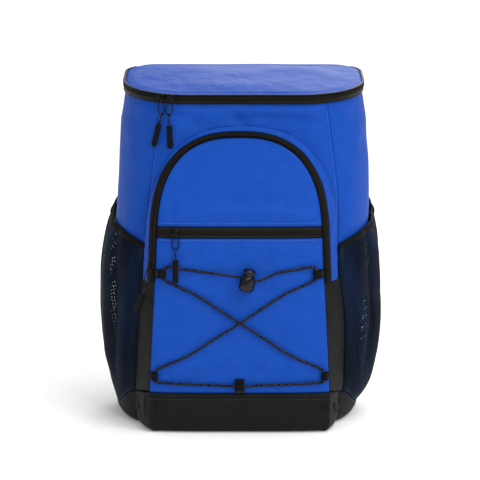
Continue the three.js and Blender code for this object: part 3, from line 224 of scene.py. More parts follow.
def outline(station, z, offset=0.0):
    """A point of half the body's outline: the front seam is station 1, the widest point 2, the back seam 3
    and the middle of the back 4."""
    front, back = -sizes().body_depth / 2, sizes().body_depth / 2
    half, corner_x, flat, seam, corner_y, back_corner, _ = section(z)
    s = np.abs(station)
    ahead = s * seam
    seam_angle = np.arcsin(np.clip((seam - flat) / corner_x, 0, 1))
    on_corner = np.arcsin(np.clip((ahead - flat) / corner_x, 0, 1))
    front_angle = np.where(s <= FRONT_SEAM, on_corner, lerp(seam_angle, math.pi / 2, np.clip(s - 1, 0, 1)))
    corner = (
        flat + (corner_x + offset) * np.sin(front_angle),
        front + corner_y - (corner_y + offset) * np.cos(front_angle),
    )
    along = np.clip(s - WIDEST, 0, 2)
    back_angle = np.select(
        [along <= 0.5, along <= 1, along <= 1.5],
        [0 * along, lerp(0, math.pi / 4, (along - 0.5) * 2), lerp(math.pi / 4, math.pi / 2, (along - 1) * 2)],
        math.pi / 2,
    )
    rounded = (
        half - back_corner + (back_corner + offset) * np.cos(back_angle),
        back - back_corner + (back_corner + offset) * np.sin(back_angle),
    )
    straight = (half + offset, lerp(front + corner_y, back - back_corner, along * 2))
    behind = (lerp(half - back_corner, 0, (along - 1.5) * 2), back + offset + 0 * along)
    choices = [(s <= 1) & (ahead <= flat), s <= WIDEST, along <= 0.5, along <= 1.5]
    x = np.select(choices, [ahead, corner[0], straight[0] + 0 * s, rounded[0]], behind[0])
    y = np.select(choices, [front - offset + 0 * s, corner[1], straight[1], rounded[1]], behind[1])
    return x, y


def body_point(station, z, offset=0.0):
    """A point of the body's skin. A negative station is on the left."""
    station, z, offset = np.broadcast_arrays(*(np.asarray(a, dtype=float) for a in (station, z, offset)))
    x, y = outline(station, z, offset)
    return np.stack([section(z)[6] + np.sign(station) * x, y, z], axis=-1)


def rim_height(y):
    """Height of the lid's seam by depth."""
    s = sizes()
    return lerp(s.rim_front, s.rim_back, np.clip((y + s.body_depth / 2) / s.body_depth, 0, 1))


def rim_at(station):
    """Height of the lid's seam by station."""
    return rim_height(outline(np.asarray(station, dtype=float), sizes().rim_front)[1])


def base_height(station):
    """Height of the boot's edge by station."""
    s, station = sizes(), np.abs(station)
    ahead = lerp(s.base_seam, s.base_side, ease(station, FRONT_SEAM, 1.7))
    behind = lerp(s.base_side, s.base_back, ease(station, BACK_SEAM - 0.6, BACK_SEAM))
    return np.where(station <= BACK_SEAM - 0.6, ahead, behind)


def pocket_half(z):
    """Half the front pocket's width by height."""
    s = sizes()
    return read_table(POCKET, "half", np.minimum(z / s.pocket_top, 1)) * s.pocket_width / 2


def pocket_face(x, z):
    """Depth of the front pocket's face."""
    s = sizes()
    out = read_table(POCKET, "depth", np.clip(z / s.pocket_top, 0, 1)) * s.pocket_depth
    share = np.minimum(np.abs(x) / pocket_half(z), 1)
    return -s.body_depth / 2 - out + s.pocket_roll * share**4


ARCH_POWER = 0.78


def arch_point(along, half, spring, crown):
    """Half of an arch with square shoulders, from its spring at 0 to its crown at 1, as x and z."""
    angle = np.asarray(along, dtype=float) * math.pi / 2
    z = lerp(spring, crown, np.sin(angle) ** ARCH_POWER)
    return half(z) * np.clip(np.cos(angle), 0, 1) ** ARCH_POWER, z


def pocket_edge(along, foot):
    """Half of the pocket's edge: straight to the spring at 1, then the arch to the crown at 2."""
    s = sizes()
    along = np.asarray(along, dtype=float)
    z = lerp(foot, s.pocket_spring, np.clip(along, 0, 1))
    arch = arch_point(np.clip(along - 1, 0, 1), pocket_half, s.pocket_spring, s.pocket_top)
    return np.where(along <= 1, pocket_half(z), arch[0]), np.where(along <= 1, z, arch[1])


def beside_edge(along, foot, distance, back):
    """A point beside the pocket's edge, in the plane of the front."""
    step = 0.01
    x0, z0 = pocket_edge(np.maximum(along - step, 0), foot)
    x1, z1 = pocket_edge(np.minimum(along + step, 2), foot)
    x, z = pocket_edge(along, foot)
    reach = np.hypot(x1 - x0, z1 - z0)
    edge_y = pocket_face(pocket_half(z), z)
    along_x, along_z = (x1 - x0) / reach, (z1 - z0) / reach
    return np.stack([x + along_z * distance, edge_y + back, z - along_x * distance], axis=-1)


def landing_point(side, along, foot):
    """Where the pocket's gusset meets the front panel."""
    s = sizes()
    along = np.asarray(along, dtype=float)
    beside = s.arch_zip_width + 0.003
    top = lerp(s.pocket_spring, s.pocket_top, 0.7)

    def half(z):
        return lerp(section(z)[3] - 0.0016, pocket_half(z) + beside, ease(z, s.pocket_spring, top))

    straight = lerp(foot, s.pocket_spring, np.clip(along, 0, 1))
    arch = arch_point(np.clip(along - 1, 0, 1), half, s.pocket_spring, s.pocket_top + beside)
    x = np.where(along <= 1, half(straight), arch[0])
    z = np.where(along <= 1, straight, arch[1])
    y = outline(np.maximum(x - 0.0025, 0) / section(z)[3], z, GAP * 2)[1]
    return np.stack([x + side * section(z)[6], y, z], axis=-1)


def gusset_point(side, along, v, start, foot, bow=0.0025):
    """A point of the front pocket's side wall, from the pocket's edge at v 0 to the front panel at v 1."""
    along, v = np.asarray(along, dtype=float), np.asarray(v, dtype=float)
    front = beside_edge(along, foot, *start)
    landing = landing_point(side, along, foot)
    point = lerp(front, landing, v[..., None])
    out = bow * np.sin(math.pi * v)
    point[..., 0] += np.where(along <= 1, out, out * (2 - along))
    point[..., 2] += np.where(along <= 1, 0, out * (along - 1))
    point[..., 0] *= side
    return point


def rim_point(station, side, rise, offset):
    """A point beside the lid's seam."""
    rim = rim_at(station)
    on_body = rim + np.minimum(rise, 0)
    x, y = outline(station, on_body, offset)
    return np.stack(np.broadcast_arrays(section(on_body)[6] + side * x, y, rim + rise), axis=-1)


def mesh_top(along):
    """Height of the side pocket's mouth."""
    return lerp(sizes().mesh_front, sizes().mesh_back, along**0.8)


def mesh_point(side, share, up, lift, start=FRONT_SEAM):
    """A point of the side pocket's net, by its share of the way back from a starting station."""
    station = lerp(start, BACK_SEAM - 0.02, share)
    low = base_height(station) + GAP
    z = lerp(low, mesh_top(np.clip((station - FRONT_SEAM) / (BACK_SEAM - FRONT_SEAM), 0, 1)), up)
    belly = np.sin(math.pi * share) ** 0.8
    bulge = sizes().mesh_bulge * belly * read_table(NET, "bulge", np.clip(up, 0, 1))
    return body_point(side * station, z, GAP + bulge + lift)


def waves(first, second, period, seed, count=7):
    """Gentle uneven relief from -1 to 1 over two coordinates, the same at each run."""
    draw = np.random.default_rng(seed)
    total = 0.0
    for _ in range(count):
        angle, phase = draw.uniform(0, math.pi), draw.uniform(0, 2 * math.pi)
        pitch = period * draw.uniform(0.7, 1.6)
        along = first * math.cos(angle) + second * math.sin(angle)
        total = total + np.sin(along / pitch * 2 * math.pi + phase)
    return total / count


# Meshes


def normals_of(grid):
    """Unit normals of a grid of points."""
    rows, columns = np.gradient(grid, axis=0), np.gradient(grid, axis=1)
    normal = np.cross(columns, rows)
    return normal / np.maximum(np.linalg.norm(normal, axis=-1, keepdims=True), 1e-12)


def grid_faces(rows, columns, start=0, flip=False, wrap=False):
    """Quads over a grid of points. wrap joins its last column to its first."""
    index = np.arange(rows * columns).reshape(rows, columns) + start
    if wrap:
        index = np.concatenate([index, index[:, :1]], axis=1)
    quads = np.stack([index[:-1, :-1], index[:-1, 1:], index[1:, 1:], index[1:, :-1]], axis=-1).reshape(-1, 4)
    return (quads[:, ::-1] if flip else quads).tolist()


def slab(outer, inner):
    """A closed sheet between two grids of points."""
    rows, columns = outer.shape[:2]
    index = np.arange(rows * columns).reshape(rows, columns)
    rim = np.concatenate([index[0, :-1], index[:-1, -1], index[-1, :0:-1], index[:0:-1, 0]])
    under = rows * columns
    faces = grid_faces(rows, columns) + grid_faces(rows, columns, under, flip=True)
    after = np.roll(rim, -1)
    faces += np.stack([rim, rim + under, after + under, after], axis=-1).tolist()
    return np.concatenate([outer.reshape(-1, 3), inner.reshape(-1, 3)]), faces


def stack(loops):
    """Loops of points joined one to the next, with a fan at each end."""
    rings, count = loops.shape[:2]
    points = np.concatenate([loops.reshape(-1, 3), loops[0].mean(0)[None], loops[-1].mean(0)[None]])
    faces = grid_faces(rings, count, wrap=True)
    first, last, base = rings * count, rings * count + 1, (rings - 1) * count
    for j in range(count):
        k = (j + 1) % count
        faces.append([first, k, j])
        faces.append([last, base + j, base + k])
    return points, faces


def close_stack(loops):
    """Loops of points in a ring, so that the last meets the first."""
    rings, count = loops.shape[:2]
    points, faces = loops.reshape(-1, 3), grid_faces(rings, count, wrap=True)
    base = (rings - 1) * count
    for j in range(count):
        k = (j + 1) % count
        faces.append([base + j, base + k, k, j])
    return points, faces


def join(*parts):
    """Several point and face lists as one."""
    points, faces, start = [], [], 0
    for some_points, some_faces in parts:
        points.append(np.asarray(some_points, dtype=float))
        faces += [[i + start for i in face] for face in some_faces]
        start += len(some_points)
    return np.concatenate(points), faces


def make(name, shape, material, nodes=(), body=BAG, sharp=None):
    """Adds a piece that rides on a body and stands for CAD nodes. Edges above the angle sharp stay crisp."""
    points, faces = shape[:2]
    cloth = shape[2] if len(shape) > 2 else np.asarray(points)[:, (0, 2, 1)]
    mesh = bpy.data.meshes.new(name)
    mesh.from_pydata((points + origin()).tolist(), [], faces)
    places = mesh.attributes.new("cloth", "FLOAT_VECTOR", "POINT")
    places.data.foreach_set("vector", np.ravel(cloth).astype("f"))
    work = bmesh.new()
    work.from_mesh(mesh)
    bmesh.ops.remove_doubles(work, verts=work.verts, dist=1e-7)
    bmesh.ops.recalc_face_normals(work, faces=work.faces)
    work.to_mesh(mesh)
    work.free()
    mesh.shade_smooth()
    if sharp is not None:
        mesh.set_sharp_from_angle(angle=math.radians(sharp))
    mesh.materials.append(material)
    piece = bpy.data.objects.new(name, mesh)
    bpy.context.scene.collection.objects.link(piece)
    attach(piece, body)
    if nodes:
        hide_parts(*nodes)
    return piece


def smooth_path(points, steps, closed=False):
    """Evenly numbered points on a smooth curve through the given ones, centripetal as the cord's solid is."""
    points = np.asarray(points, dtype=float)
    if closed:
        control = np.concatenate([points[-1:], points, points[:2]])
    else:
        control = np.concatenate([2 * points[:1] - points[1:2], points, 2 * points[-1:] - points[-2:-1]])
    spans = len(control) - 3
    place = np.linspace(0, spans, steps, endpoint=not closed)
    i = np.minimum(place.astype(int), spans - 1)
    t = (place - i)[:, None]
    p0, p1, p2, p3 = (control[i + k] for k in range(4))
    d0, d1, d2 = (
        np.maximum(np.linalg.norm(b - a, axis=1, keepdims=True) ** 0.5, 1e-6)
        for a, b in ((p0, p1), (p1, p2), (p2, p3))
    )
    m1 = ((p1 - p0) / d0 - (p2 - p0) / (d0 + d1) + (p2 - p1) / d1) * d1
    m2 = ((p2 - p1) / d1 - (p3 - p1) / (d1 + d2) + (p3 - p2) / d2) * d1
    return (
        (2 * t**3 - 3 * t**2 + 1) * p1
        + (t**3 - 2 * t**2 + t) * m1
        + (3 * t**2 - 2 * t**3) * p2
        + (t**3 - t**2) * m2
    )


def run_along(points):
    """Distance along a path at each of its points."""
    return np.concatenate([[0], np.cumsum(np.linalg.norm(np.diff(points, axis=0), axis=1))])


def strip_cloth(across, run, closed=False):
    """Places on the cloth of a swept piece: across and along. An open piece has a point at each end too."""
    cloth = np.stack(np.broadcast_arrays(across[None, :], run[:, None], 0.0), axis=-1).reshape(-1, 3)
    return cloth if closed else np.concatenate([cloth, np.zeros((2, 3))])


def even_path(points, pitch, closed=False):
    """Points an even distance apart on a smooth curve through the given ones."""
    dense = smooth_path(points, 60 * len(points), closed)
    if closed:
        dense = np.concatenate([dense, dense[:1]])
    run = run_along(dense)
    count = max(int(round(run[-1] / pitch)), 2)
    places = np.linspace(0, run[-1], count, endpoint=not closed)
    return np.stack([np.interp(places, run, dense[:, k]) for k in range(3)], axis=1), places


def frames_along(points, sideways, closed=False, start=None, end=None):
    """Tangent, side and normal at each point of a path, kept square to a given direction."""
    if closed:
        along = np.roll(points, -1, axis=0) - np.roll(points, 1, axis=0)
    else:
        along = np.gradient(points, axis=0)
        if start is not None:
            along[0] = start
        if end is not None:
            along[-1] = end
    along /= np.linalg.norm(along, axis=1, keepdims=True)
    normal = np.cross(along, np.broadcast_to(sideways, along.shape))
    normal /= np.linalg.norm(normal, axis=1, keepdims=True)
    return along, np.cross(normal, along), normal


def sweep(points, profile, sideways, closed=False, start=None, end=None):
    """A section, given as pairs across and through, swept along points. It may change from point to point."""
    _, side, normal = frames_along(points, sideways, closed, start, end)
    profile = np.broadcast_to(profile, (len(points),) + np.shape(profile)[-2:])
    loops = points[:, None] + side[:, None] * profile[..., :1] + normal[:, None] * profile[..., 1:]
    return close_stack(loops) if closed else stack(loops)


def circle(radius, sides):
    """A round section."""
    angle = np.arange(sides) / sides * 2 * math.pi
    return np.stack([radius * np.cos(angle), radius * np.sin(angle)], axis=-1)


def flat_section(width, thickness, rounding=0.5, steps=5):
    """A flat section with rounded long edges."""
    a, b = width / 2, thickness / 2
    r = b * rounding * 2
    turn = np.linspace(0, math.pi / 2, steps)
    corners = []
    for cx, cy, begin in ((a - r, b - r, 0), (-a + r, b - r, 1), (-a + r, -b + r, 2), (a - r, -b + r, 3)):
        angle = turn + begin * math.pi / 2
        corners.append(np.stack([cx + r * np.cos(angle), cy + r * np.sin(angle)], axis=-1))
    return np.concatenate(corners)


def lathe(profile, sides):
    """A round piece about its own axis, from pairs of radius and height."""
    angle = np.arange(sides) / sides * 2 * math.pi
    loops = [
        np.stack([r * np.cos(angle), r * np.sin(angle), np.full(sides, z)], axis=-1) for r, z in profile
    ]
    return stack(np.array(loops))


def place_in(axes, at, shape):
    """Moves a shape drawn along side, down and out into its place."""
    points, faces = shape
    return np.asarray(points) @ np.stack(axes) + np.asarray(at), faces


def unit(vector):
    """A direction."""
    return np.asarray(vector, dtype=float) / np.linalg.norm(vector)


def axes_of(down, out):
    """Side, down and out, square to each other."""
    side = unit(np.cross(down, out))
    return side, down, unit(np.cross(side, down))


# Materials


class Shader:
    """A material's node tree, built a node at a time."""

    def __init__(self, name):
        self.material = bpy.data.materials.new(name)
        self.material.use_nodes = True
        self.tree = self.material.node_tree
        self.surface = self.tree.nodes["Principled BSDF"]

    def node(self, kind, settings=None, **inputs):
        """Adds a node. Inputs are numbers, tuples or other nodes' outputs, by the socket's name or number."""
        made = self.tree.nodes.new("ShaderNode" + kind)
        for key, value in (settings or {}).items():
            setattr(made, key, value)
        for key, value in inputs.items():
            name = key.replace("_", " ")
            socket = made.inputs[int(name[1:])] if name[1:].isdigit() else made.inputs[name]
            self.feed(socket, value)
        return made

    def feed(self, socket, value):
        """Sets or links a socket."""
        if isinstance(value, bpy.types.NodeSocket):
            self.tree.links.new(value, socket)
        else:
            socket.default_value = value

    def set(self, **inputs):
        """Sets or links the surface's sockets."""
        for key, value in inputs.items():
            self.feed(self.surface.inputs[key.replace("_", " ")], value)

    def math(self, operation, first, second=0.0):
        """The result of a sum on two values."""
        return self.node("Math", {"operation": operation}, i0=first, i1=second).outputs[0]

    def cloth(self):
        """Place on the cloth, in metres: across, up and out."""
        return self.node("Attribute", {"attribute_name": "cloth"}).outputs["Vector"]

    def stretched(self, vector, scale):
        """A vector scaled by axis."""
        return self.node("Mapping", Vector=vector, Scale=scale).outputs[0]

    def bands(self, vector, direction, pitch):
        """Ridges a given pitch apart, from 0 to 1."""
        settings = {"wave_type": "BANDS", "bands_direction": direction}
        return self.node("TexWave", settings, Vector=vector, Scale=math.pi / 10 / pitch).outputs["Fac"]

    def noise(self, vector, pitch, detail=2.0):
        """Soft noise with features of a given size, about 0.5."""
        return self.node("TexNoise", Vector=vector, Scale=1 / pitch, Detail=detail).outputs["Fac"]

    def ramp(self, value, low, high):
        """A value from low to high as the input goes from 0 to 1."""
        return self.node("MapRange", Value=value, To_Min=low, To_Max=high).outputs[0]

    def tone(self, base, amount):
        """A base colour made lighter and darker by a factor."""
        return self.node("VectorMath", {"operation": "SCALE"}, i0=tuple(base), Scale=amount).outputs[0]

    def blend(self, amount, first, second):
        """A mix of two colours."""
        made = self.tree.nodes.new("ShaderNodeMix")
        made.data_type = "RGBA"
        for socket, value in zip((made.inputs[0], made.inputs[6], made.inputs[7]), (amount, first, second)):
            self.feed(socket, (*value, 1.0) if isinstance(value, tuple) and len(value) == 3 else value)
        return made.outputs[2]

    def bump(self, height, distance, strength=1.0, under=None):
        """Relief of a given depth in metres, on top of other relief."""
        made = self.node("Bump", Height=height, Distance=distance, Strength=strength)
        if under is not None:
            self.tree.links.new(under, made.inputs["Normal"])
        return made.outputs[0]


MADE = {}


def finish(name):
    """Turns a function that builds a finish into one that gives its material, which is made once."""

    def named(build):
        @functools.wraps(build)
        def material():
            if name not in MADE:
                shader = Shader(name)
                build(shader)
                MADE[name] = shader.material
            return MADE[name]

        return material

    return named


def woven(shader, base, yarn, gloss, sheen=0.0, roughness=0.5, variation=0.2, depth=0.00012):
    """Plain-woven cloth: two sets of yarns, slubs along them, faint streaks and creases."""
    cloth = shader.cloth()
    across, up = shader.bands(cloth, "X", yarn), shader.bands(cloth, "Y", yarn)
    weave = shader.math("MULTIPLY", shader.math("ADD", across, up), 0.5)
    slubs = shader.noise(shader.stretched(cloth, (1.0, 9.0, 1.0)), yarn * 26)
    crumple = shader.noise(cloth, 0.021, 4.0)
    grain = shader.noise(cloth, yarn * 3, 3.0)
    mixed = shader.math("ADD", shader.math("MULTIPLY", slubs, 0.45), shader.math("MULTIPLY", crumple, 0.3))
    mixed = shader.math("ADD", mixed, shader.math("MULTIPLY", grain, 0.25))
    shade = shader.ramp(mixed, 1 - variation * 2, 1 + variation * 2)
    shade = shader.math("MULTIPLY", shade, shader.ramp(weave, 0.9, 1.06))
    shader.set(Base_Color=shader.tone(base, shade))
    shader.set(Roughness=shader.ramp(grain, roughness - 0.08, roughness + 0.08))
    shader.set(Sheen_Weight=sheen, Sheen_Roughness=0.4, Specular_IOR_Level=gloss)
    soft = shader.bump(crumple, 0.0024)
    shader.set(Normal=shader.bump(weave, depth, 0.8, shader.bump(slubs, 0.00018, 0.8, soft)))


@finish("blue_woven_cloth")
def blue_cloth(shader):
    """Blue woven cloth over foam."""
    woven(shader, colours().blue, yarn=0.00075, gloss=0.08)


@finish("black_coated_cloth")
def black_cloth(shader):
    """Black coated cloth of the boot and gussets."""
    woven(shader, colours().black, yarn=0.0009, gloss=0.05, variation=0.25, depth=0.0002)


@finish("black_spacer_cloth")
def padding_cloth(shader):
    """Black spacer cloth of the back and the straps."""
    woven(shader, colours().padding, yarn=0.0021, gloss=0.12, sheen=0.02, roughness=0.75, depth=0.0004)


@finish("black_webbing")
def webbing_cloth(shader):
    """Black ribbed webbing."""
    cloth = shader.cloth()
    ribs = shader.bands(cloth, "Y", 0.0013)
    lengthwise = shader.bands(cloth, "X", 0.0021)
    fuzz = shader.noise(cloth, 0.002, 3.0)
    shade = shader.math("MULTIPLY", shader.ramp(fuzz, 0.7, 1.4), shader.ramp(ribs, 0.75, 1.2))
    shader.set(Base_Color=shader.tone(colours().webbing, shade))
    shader.set(Roughness=0.62, Specular_IOR_Level=0.08)
    shader.set(Normal=shader.bump(ribs, 0.00025, 1.0, shader.bump(lengthwise, 0.0002, 0.6)))


@finish("black_zip_tape")
def tape_cloth(shader):
    """Zip tape and coil: black with an olive cast where the light grazes it."""
    cloth = shader.cloth()
    ribs = shader.bands(cloth, "X", 0.0009)
    fuzz = shader.noise(cloth, 0.0016, 3.0)
    shade = shader.math("MULTIPLY", shader.ramp(fuzz, 0.75, 1.35), shader.ramp(ribs, 0.85, 1.15))
    shader.set(Base_Color=shader.tone(colours().tape, shade))
    shader.set(Roughness=0.4, Specular_IOR_Level=0.12, Specular_Tint=(1.0, 0.93, 0.75, 1.0))
    shader.set(Normal=shader.bump(ribs, 0.00012, 0.8))


@finish("black_net")
def net_cloth(shader):
    """Black knitted net, with painted shade and painted sheen in long upright streaks over its colour."""
    cloth = shader.cloth()
    fuzz = shader.noise(cloth, 0.004, 4.0)
    # painted shade and painted sheen: long upright streaks of noise darken and lighten the net's colour in
    # place of the shade of its folds and the sheen of its strands
    fold_shade_and_sheen = shader.noise(shader.stretched(cloth, (1.0, 0.16, 1.0)), 0.026, 2.0)
    twist = shader.bands(cloth, "DIAGONAL", 0.0006)
    shade = shader.math("MULTIPLY", shader.ramp(fuzz, 0.6, 1.5), shader.ramp(twist, 0.8, 1.2))
    shade = shader.math("MULTIPLY", shade, shader.math("POWER", shader.ramp(fold_shade_and_sheen, 0.3, 1.7), 4.0))
    shader.set(Base_Color=shader.tone(colours().net, shade))
    shader.set(Roughness=0.6, Specular_IOR_Level=0.06)
    shader.set(Normal=shader.bump(twist, 0.0001, 0.7))


@finish("black_elastic_binding")
def binding_cloth(shader):
    """Black folded elastic binding with lengthwise ribs."""
    cloth = shader.cloth()
    ribs = shader.bands(cloth, "Y", 0.0011)
    fuzz = shader.noise(cloth, 0.0015, 3.0)
    shader.set(Base_Color=shader.tone(colours().webbing, shader.ramp(fuzz, 0.6, 1.5)))
    shader.set(Roughness=0.6, Specular_IOR_Level=0.07)
    shader.set(Normal=shader.bump(ribs, 0.00018, 0.9))


@finish("braided_elastic")
def cord_cloth(shader):
    """Braided elastic cord, black with scattered pale flecks."""
    cloth = shader.cloth()
    first = shader.bands(cloth, "DIAGONAL", 0.0022)
    ticks = shader.math("GREATER_THAN", shader.bands(cloth, "Y", 0.0029), 0.72)
    shown = shader.math("GREATER_THAN", shader.noise(cloth, 0.0021), 0.5)
    dark = shader.tone((0.004, 0.004, 0.005), shader.ramp(first, 0.6, 1.5))
    pale = (0.085, 0.075, 0.078)
    shader.set(Base_Color=shader.blend(shader.math("MULTIPLY", ticks, shown), dark, pale))
    shader.set(Roughness=0.6, Specular_IOR_Level=0.08)
    shader.set(Normal=shader.bump(first, 0.0002, 0.8))


def spun(shader, base):
    """Spun sewing thread of a colour."""
    fuzz = shader.noise(shader.cloth(), 0.0007)
    shader.set(Base_Color=shader.tone(base, shader.ramp(fuzz, 0.7, 1.3)))
    shader.set(Roughness=0.5, Sheen_Weight=0.2)


@finish("blue_thread")
def blue_thread(shader):
    """Sewing thread, a little lighter than the blue cloth."""
    spun(shader, (0.03, 0.11, 0.46))


@finish("black_thread")
def black_thread(shader):
    """Sewing thread, a little lighter than the black cloth."""
    spun(shader, (0.03, 0.03, 0.032))


def smooth(shader, base, roughness, gloss, wear=0.2):
    """Lacquered metal, rubber or moulded plastic with fine unevenness."""
    cloth = shader.cloth()
    fine = shader.noise(cloth, 0.0012, 4.0)
    broad = shader.noise(cloth, 0.009, 3.0)
    shader.set(Base_Color=shader.tone(base, shader.ramp(broad, 1 - wear, 1 + wear)))
    shader.set(Specular_IOR_Level=gloss, Roughness=shader.ramp(fine, roughness * 0.75, roughness * 1.3))
    shader.set(Normal=shader.bump(fine, 0.00003, 0.6))


@finish("black_lacquered_metal")
def black_metal(shader):
    """Black lacquered metal."""
    smooth(shader, colours().metal, roughness=0.12, gloss=0.14, wear=0.25)


@finish("moulded_rubber")
def black_rubber(shader):
    """Moulded rubber of the pulls."""
    smooth(shader, (0.004, 0.004, 0.0042), roughness=0.5, gloss=0.08, wear=0.3)


@finish("glossy_plastic")
def black_plastic(shader):
    """Glossy moulded plastic of the cord lock."""
    smooth(shader, colours().plastic, roughness=0.14, gloss=0.3)


@finish("satin_plastic")
def satin_plastic(shader):
    """Satin moulded plastic of the buckles."""
    smooth(shader, colours().plastic, roughness=0.42, gloss=0.2)


# Cloth panels


def grid(rows, columns, low=0.0, high=1.0):
    """Two grids: one from low to high by row, and one of shares by column."""
    return np.meshgrid(np.linspace(low, high, rows), np.linspace(0, 1, columns), indexing="ij")


def edge_distance(surface):
    """Distance along the cloth from each of a grid's four edges: low, high, left, right."""
    up = np.linalg.norm(np.diff(surface, axis=0), axis=-1)
    across = np.linalg.norm(np.diff(surface, axis=1), axis=-1)
    low = np.concatenate([np.zeros((1, surface.shape[1])), np.cumsum(up, axis=0)])
    left = np.concatenate([np.zeros((surface.shape[0], 1)), np.cumsum(across, axis=1)], axis=1)
    return low, low[-1:] - low, left, left[:, -1:] - left


def swell(distance, reach):
    """Rise of padding in from a seam: 0 at the seam, 1 beyond reach."""
    return 1 - np.exp(-distance / reach)


def folds(first, second, rows):
    """Soft creases and dents, each with a place, length, width, turn in degrees and height."""
    total = 0.0
    for at_first, at_second, reach, width, turn, height in rows:
        angle = math.radians(turn)
        a, b = first - at_first, second - at_second
        along, beside = a * math.cos(angle) + b * math.sin(angle), b * math.cos(angle) - a * math.sin(angle)
        total = total + height * np.exp(-((along / reach) ** 2) - (beside / width) ** 2)
    return total


def padded_slab(surface, thickness, puff, reach, outward, relief, margins=(0, 0, 0, 0)):
    """A padded panel under a surface: its cloth is drawn in at the seams and swells between them. outward is
    the side of the grid that shows. margins are the widths at its four edges that lie flat under a tape, None
    for an edge that isn't drawn in. The cloth's coordinates come third, for the weave."""
    distances = edge_distance(surface)
    rise = 1.0
    for distance, margin in zip(distances, margins):
        if margin is not None:
            rise = rise * swell(np.maximum(distance - margin, 0), reach)
    out = outward * normals_of(surface)
    raised = surface + out * (puff * (rise - 0.8) + relief * rise)[..., None]
    inner = surface - out * thickness
    points, faces = slab(raised, inner)
    cloth = np.stack([distances[2] - distances[2].mean(), distances[0], np.zeros_like(distances[0])], axis=-1)
    return points, faces, np.concatenate([cloth.reshape(-1, 3)] * 2)


# Thickness of the front pocket's padded face, and of its side walls
POCKET_WALL, GUSSET_WALL = 0.003, 0.0025

# Creases: place across and up, length, width, turn in degrees, height, all but the turn in metres
FRONT_FOLDS = (
    (-0.075, 0.374, 0.040, 0.009, -20, -0.0030),
    (-0.045, 0.380, 0.040, 0.004, -6, 0.0020),
    (0.048, 0.380, 0.046, 0.0055, -4, 0.0056),
    (0.074, 0.370, 0.034, 0.005, -12, -0.0026),
    (0.020, 0.371, 0.050, 0.004, 5, -0.0018),
    (-0.006, 0.374, 0.020, 0.006, -40, -0.0030),
    (0.088, 0.381, 0.016, 0.004, 30, 0.0022),
    (-0.092, 0.300, 0.050, 0.009, 74, 0.0012),
    (0.098, 0.290, 0.045, 0.008, 104, -0.0014),
)
UPPER_FOLDS = (
    (-0.030, 0.264, 0.055, 0.008, 3, 0.0022),
    (0.046, 0.262, 0.050, 0.007, -4, 0.0024),
    (0.020, 0.274, 0.040, 0.006, 8, -0.0012),
    (-0.060, 0.315, 0.030, 0.012, 48, -0.0018),
    (0.056, 0.322, 0.036, 0.012, -44, -0.0018),
    (0.005, 0.292, 0.050, 0.012, 12, 0.0012),
    (-0.080, 0.262, 0.020, 0.006, 80, -0.0012),
)
LOWER_FOLDS = (
    (-0.050, 0.222, 0.040, 0.006, 8, 0.0008),
    (0.055, 0.219, 0.045, 0.006, -6, 0.0008),
    (-0.088, 0.150, 0.045, 0.008, 84, -0.0008),
    (0.088, 0.140, 0.050, 0.008, 96, -0.0008),
    (0.000, 0.085, 0.070, 0.012, 2, 0.0010),
    (-0.045, 0.068, 0.040, 0.006, 14, -0.0009),
    (0.055, 0.066, 0.045, 0.006, -12, -0.0008),
    (-0.030, 0.120, 0.060, 0.014, 38, -0.0006),
    (0.034, 0.118, 0.060, 0.014, -36, -0.0006),
)
SIDE_FOLDS = (
    (0.020, 0.330, 0.060, 0.014, 66, -0.0018),
    (0.075, 0.290, 0.070, 0.016, 82, 0.0016),
    (0.110, 0.240, 0.060, 0.014, 104, -0.0016),
    (0.050, 0.372, 0.050, 0.012, 10, -0.0012),
    (0.120, 0.350, 0.045, 0.012, -22, 0.0010),
    (0.060, 0.180, 0.070, 0.016, 94, 0.0012),
)


def front_panel():
    """The padded front panel, from inside the boot up to the lid's seam."""
    s = sizes()
    seam = section(0.0)[3]
    clear = GAP + s.base_wall + s.wall
    beside_wall, beside_floor = 1 - clear / seam, 1 - (s.base_wall + s.wall + s.base_rounding) / seam
    above = s.base_front + 0.014
    hidden = np.linspace(s.base_floor + GAP, s.base_front, 8)[:-1]
    shown = np.linspace(s.base_front, s.rim_front, 100)
    z, along = np.meshgrid(np.concatenate([hidden, shown]), np.linspace(-1, 1, 101), indexing="ij")
    inside = lerp(beside_floor, beside_wall, ease(z, s.base_floor, s.base_rounding * 1.5))
    widening = lerp(beside_wall, 0.998, ease(z, s.base_front, above))
    station = along * np.where(z < s.base_front, inside, widening)
    top = np.clip((z - s.pocket_top) / (s.rim_front - s.pocket_top), 0, 1)
    surface = body_point(station, z + top * (rim_at(station) - s.rim_front))
    x, height = surface[..., 0], surface[..., 2]
    relief = folds(x, height, FRONT_FOLDS) + 0.0004 * waves(x, height, 0.06, 11)
    relief = relief * ease(height, s.base_front, 0.1)
    margins = (None, s.lid_zip_below, 0, 0)
    shape = padded_slab(surface, s.wall, puff=0.0018, reach=0.006, outward=1, relief=relief, margins=margins)
    piece = make("front_panel_cloth", shape, blue_cloth(), ["front_panel"])


def standing_panel(stations, rows):
    """The skin of a panel that stands on the boot, and its shares of height."""
    share, station = np.meshgrid(np.linspace(0, 1, rows), stations, indexing="ij")
    low = base_height(station) + GAP
    return body_point(station, lerp(low, rim_at(station), share)), share


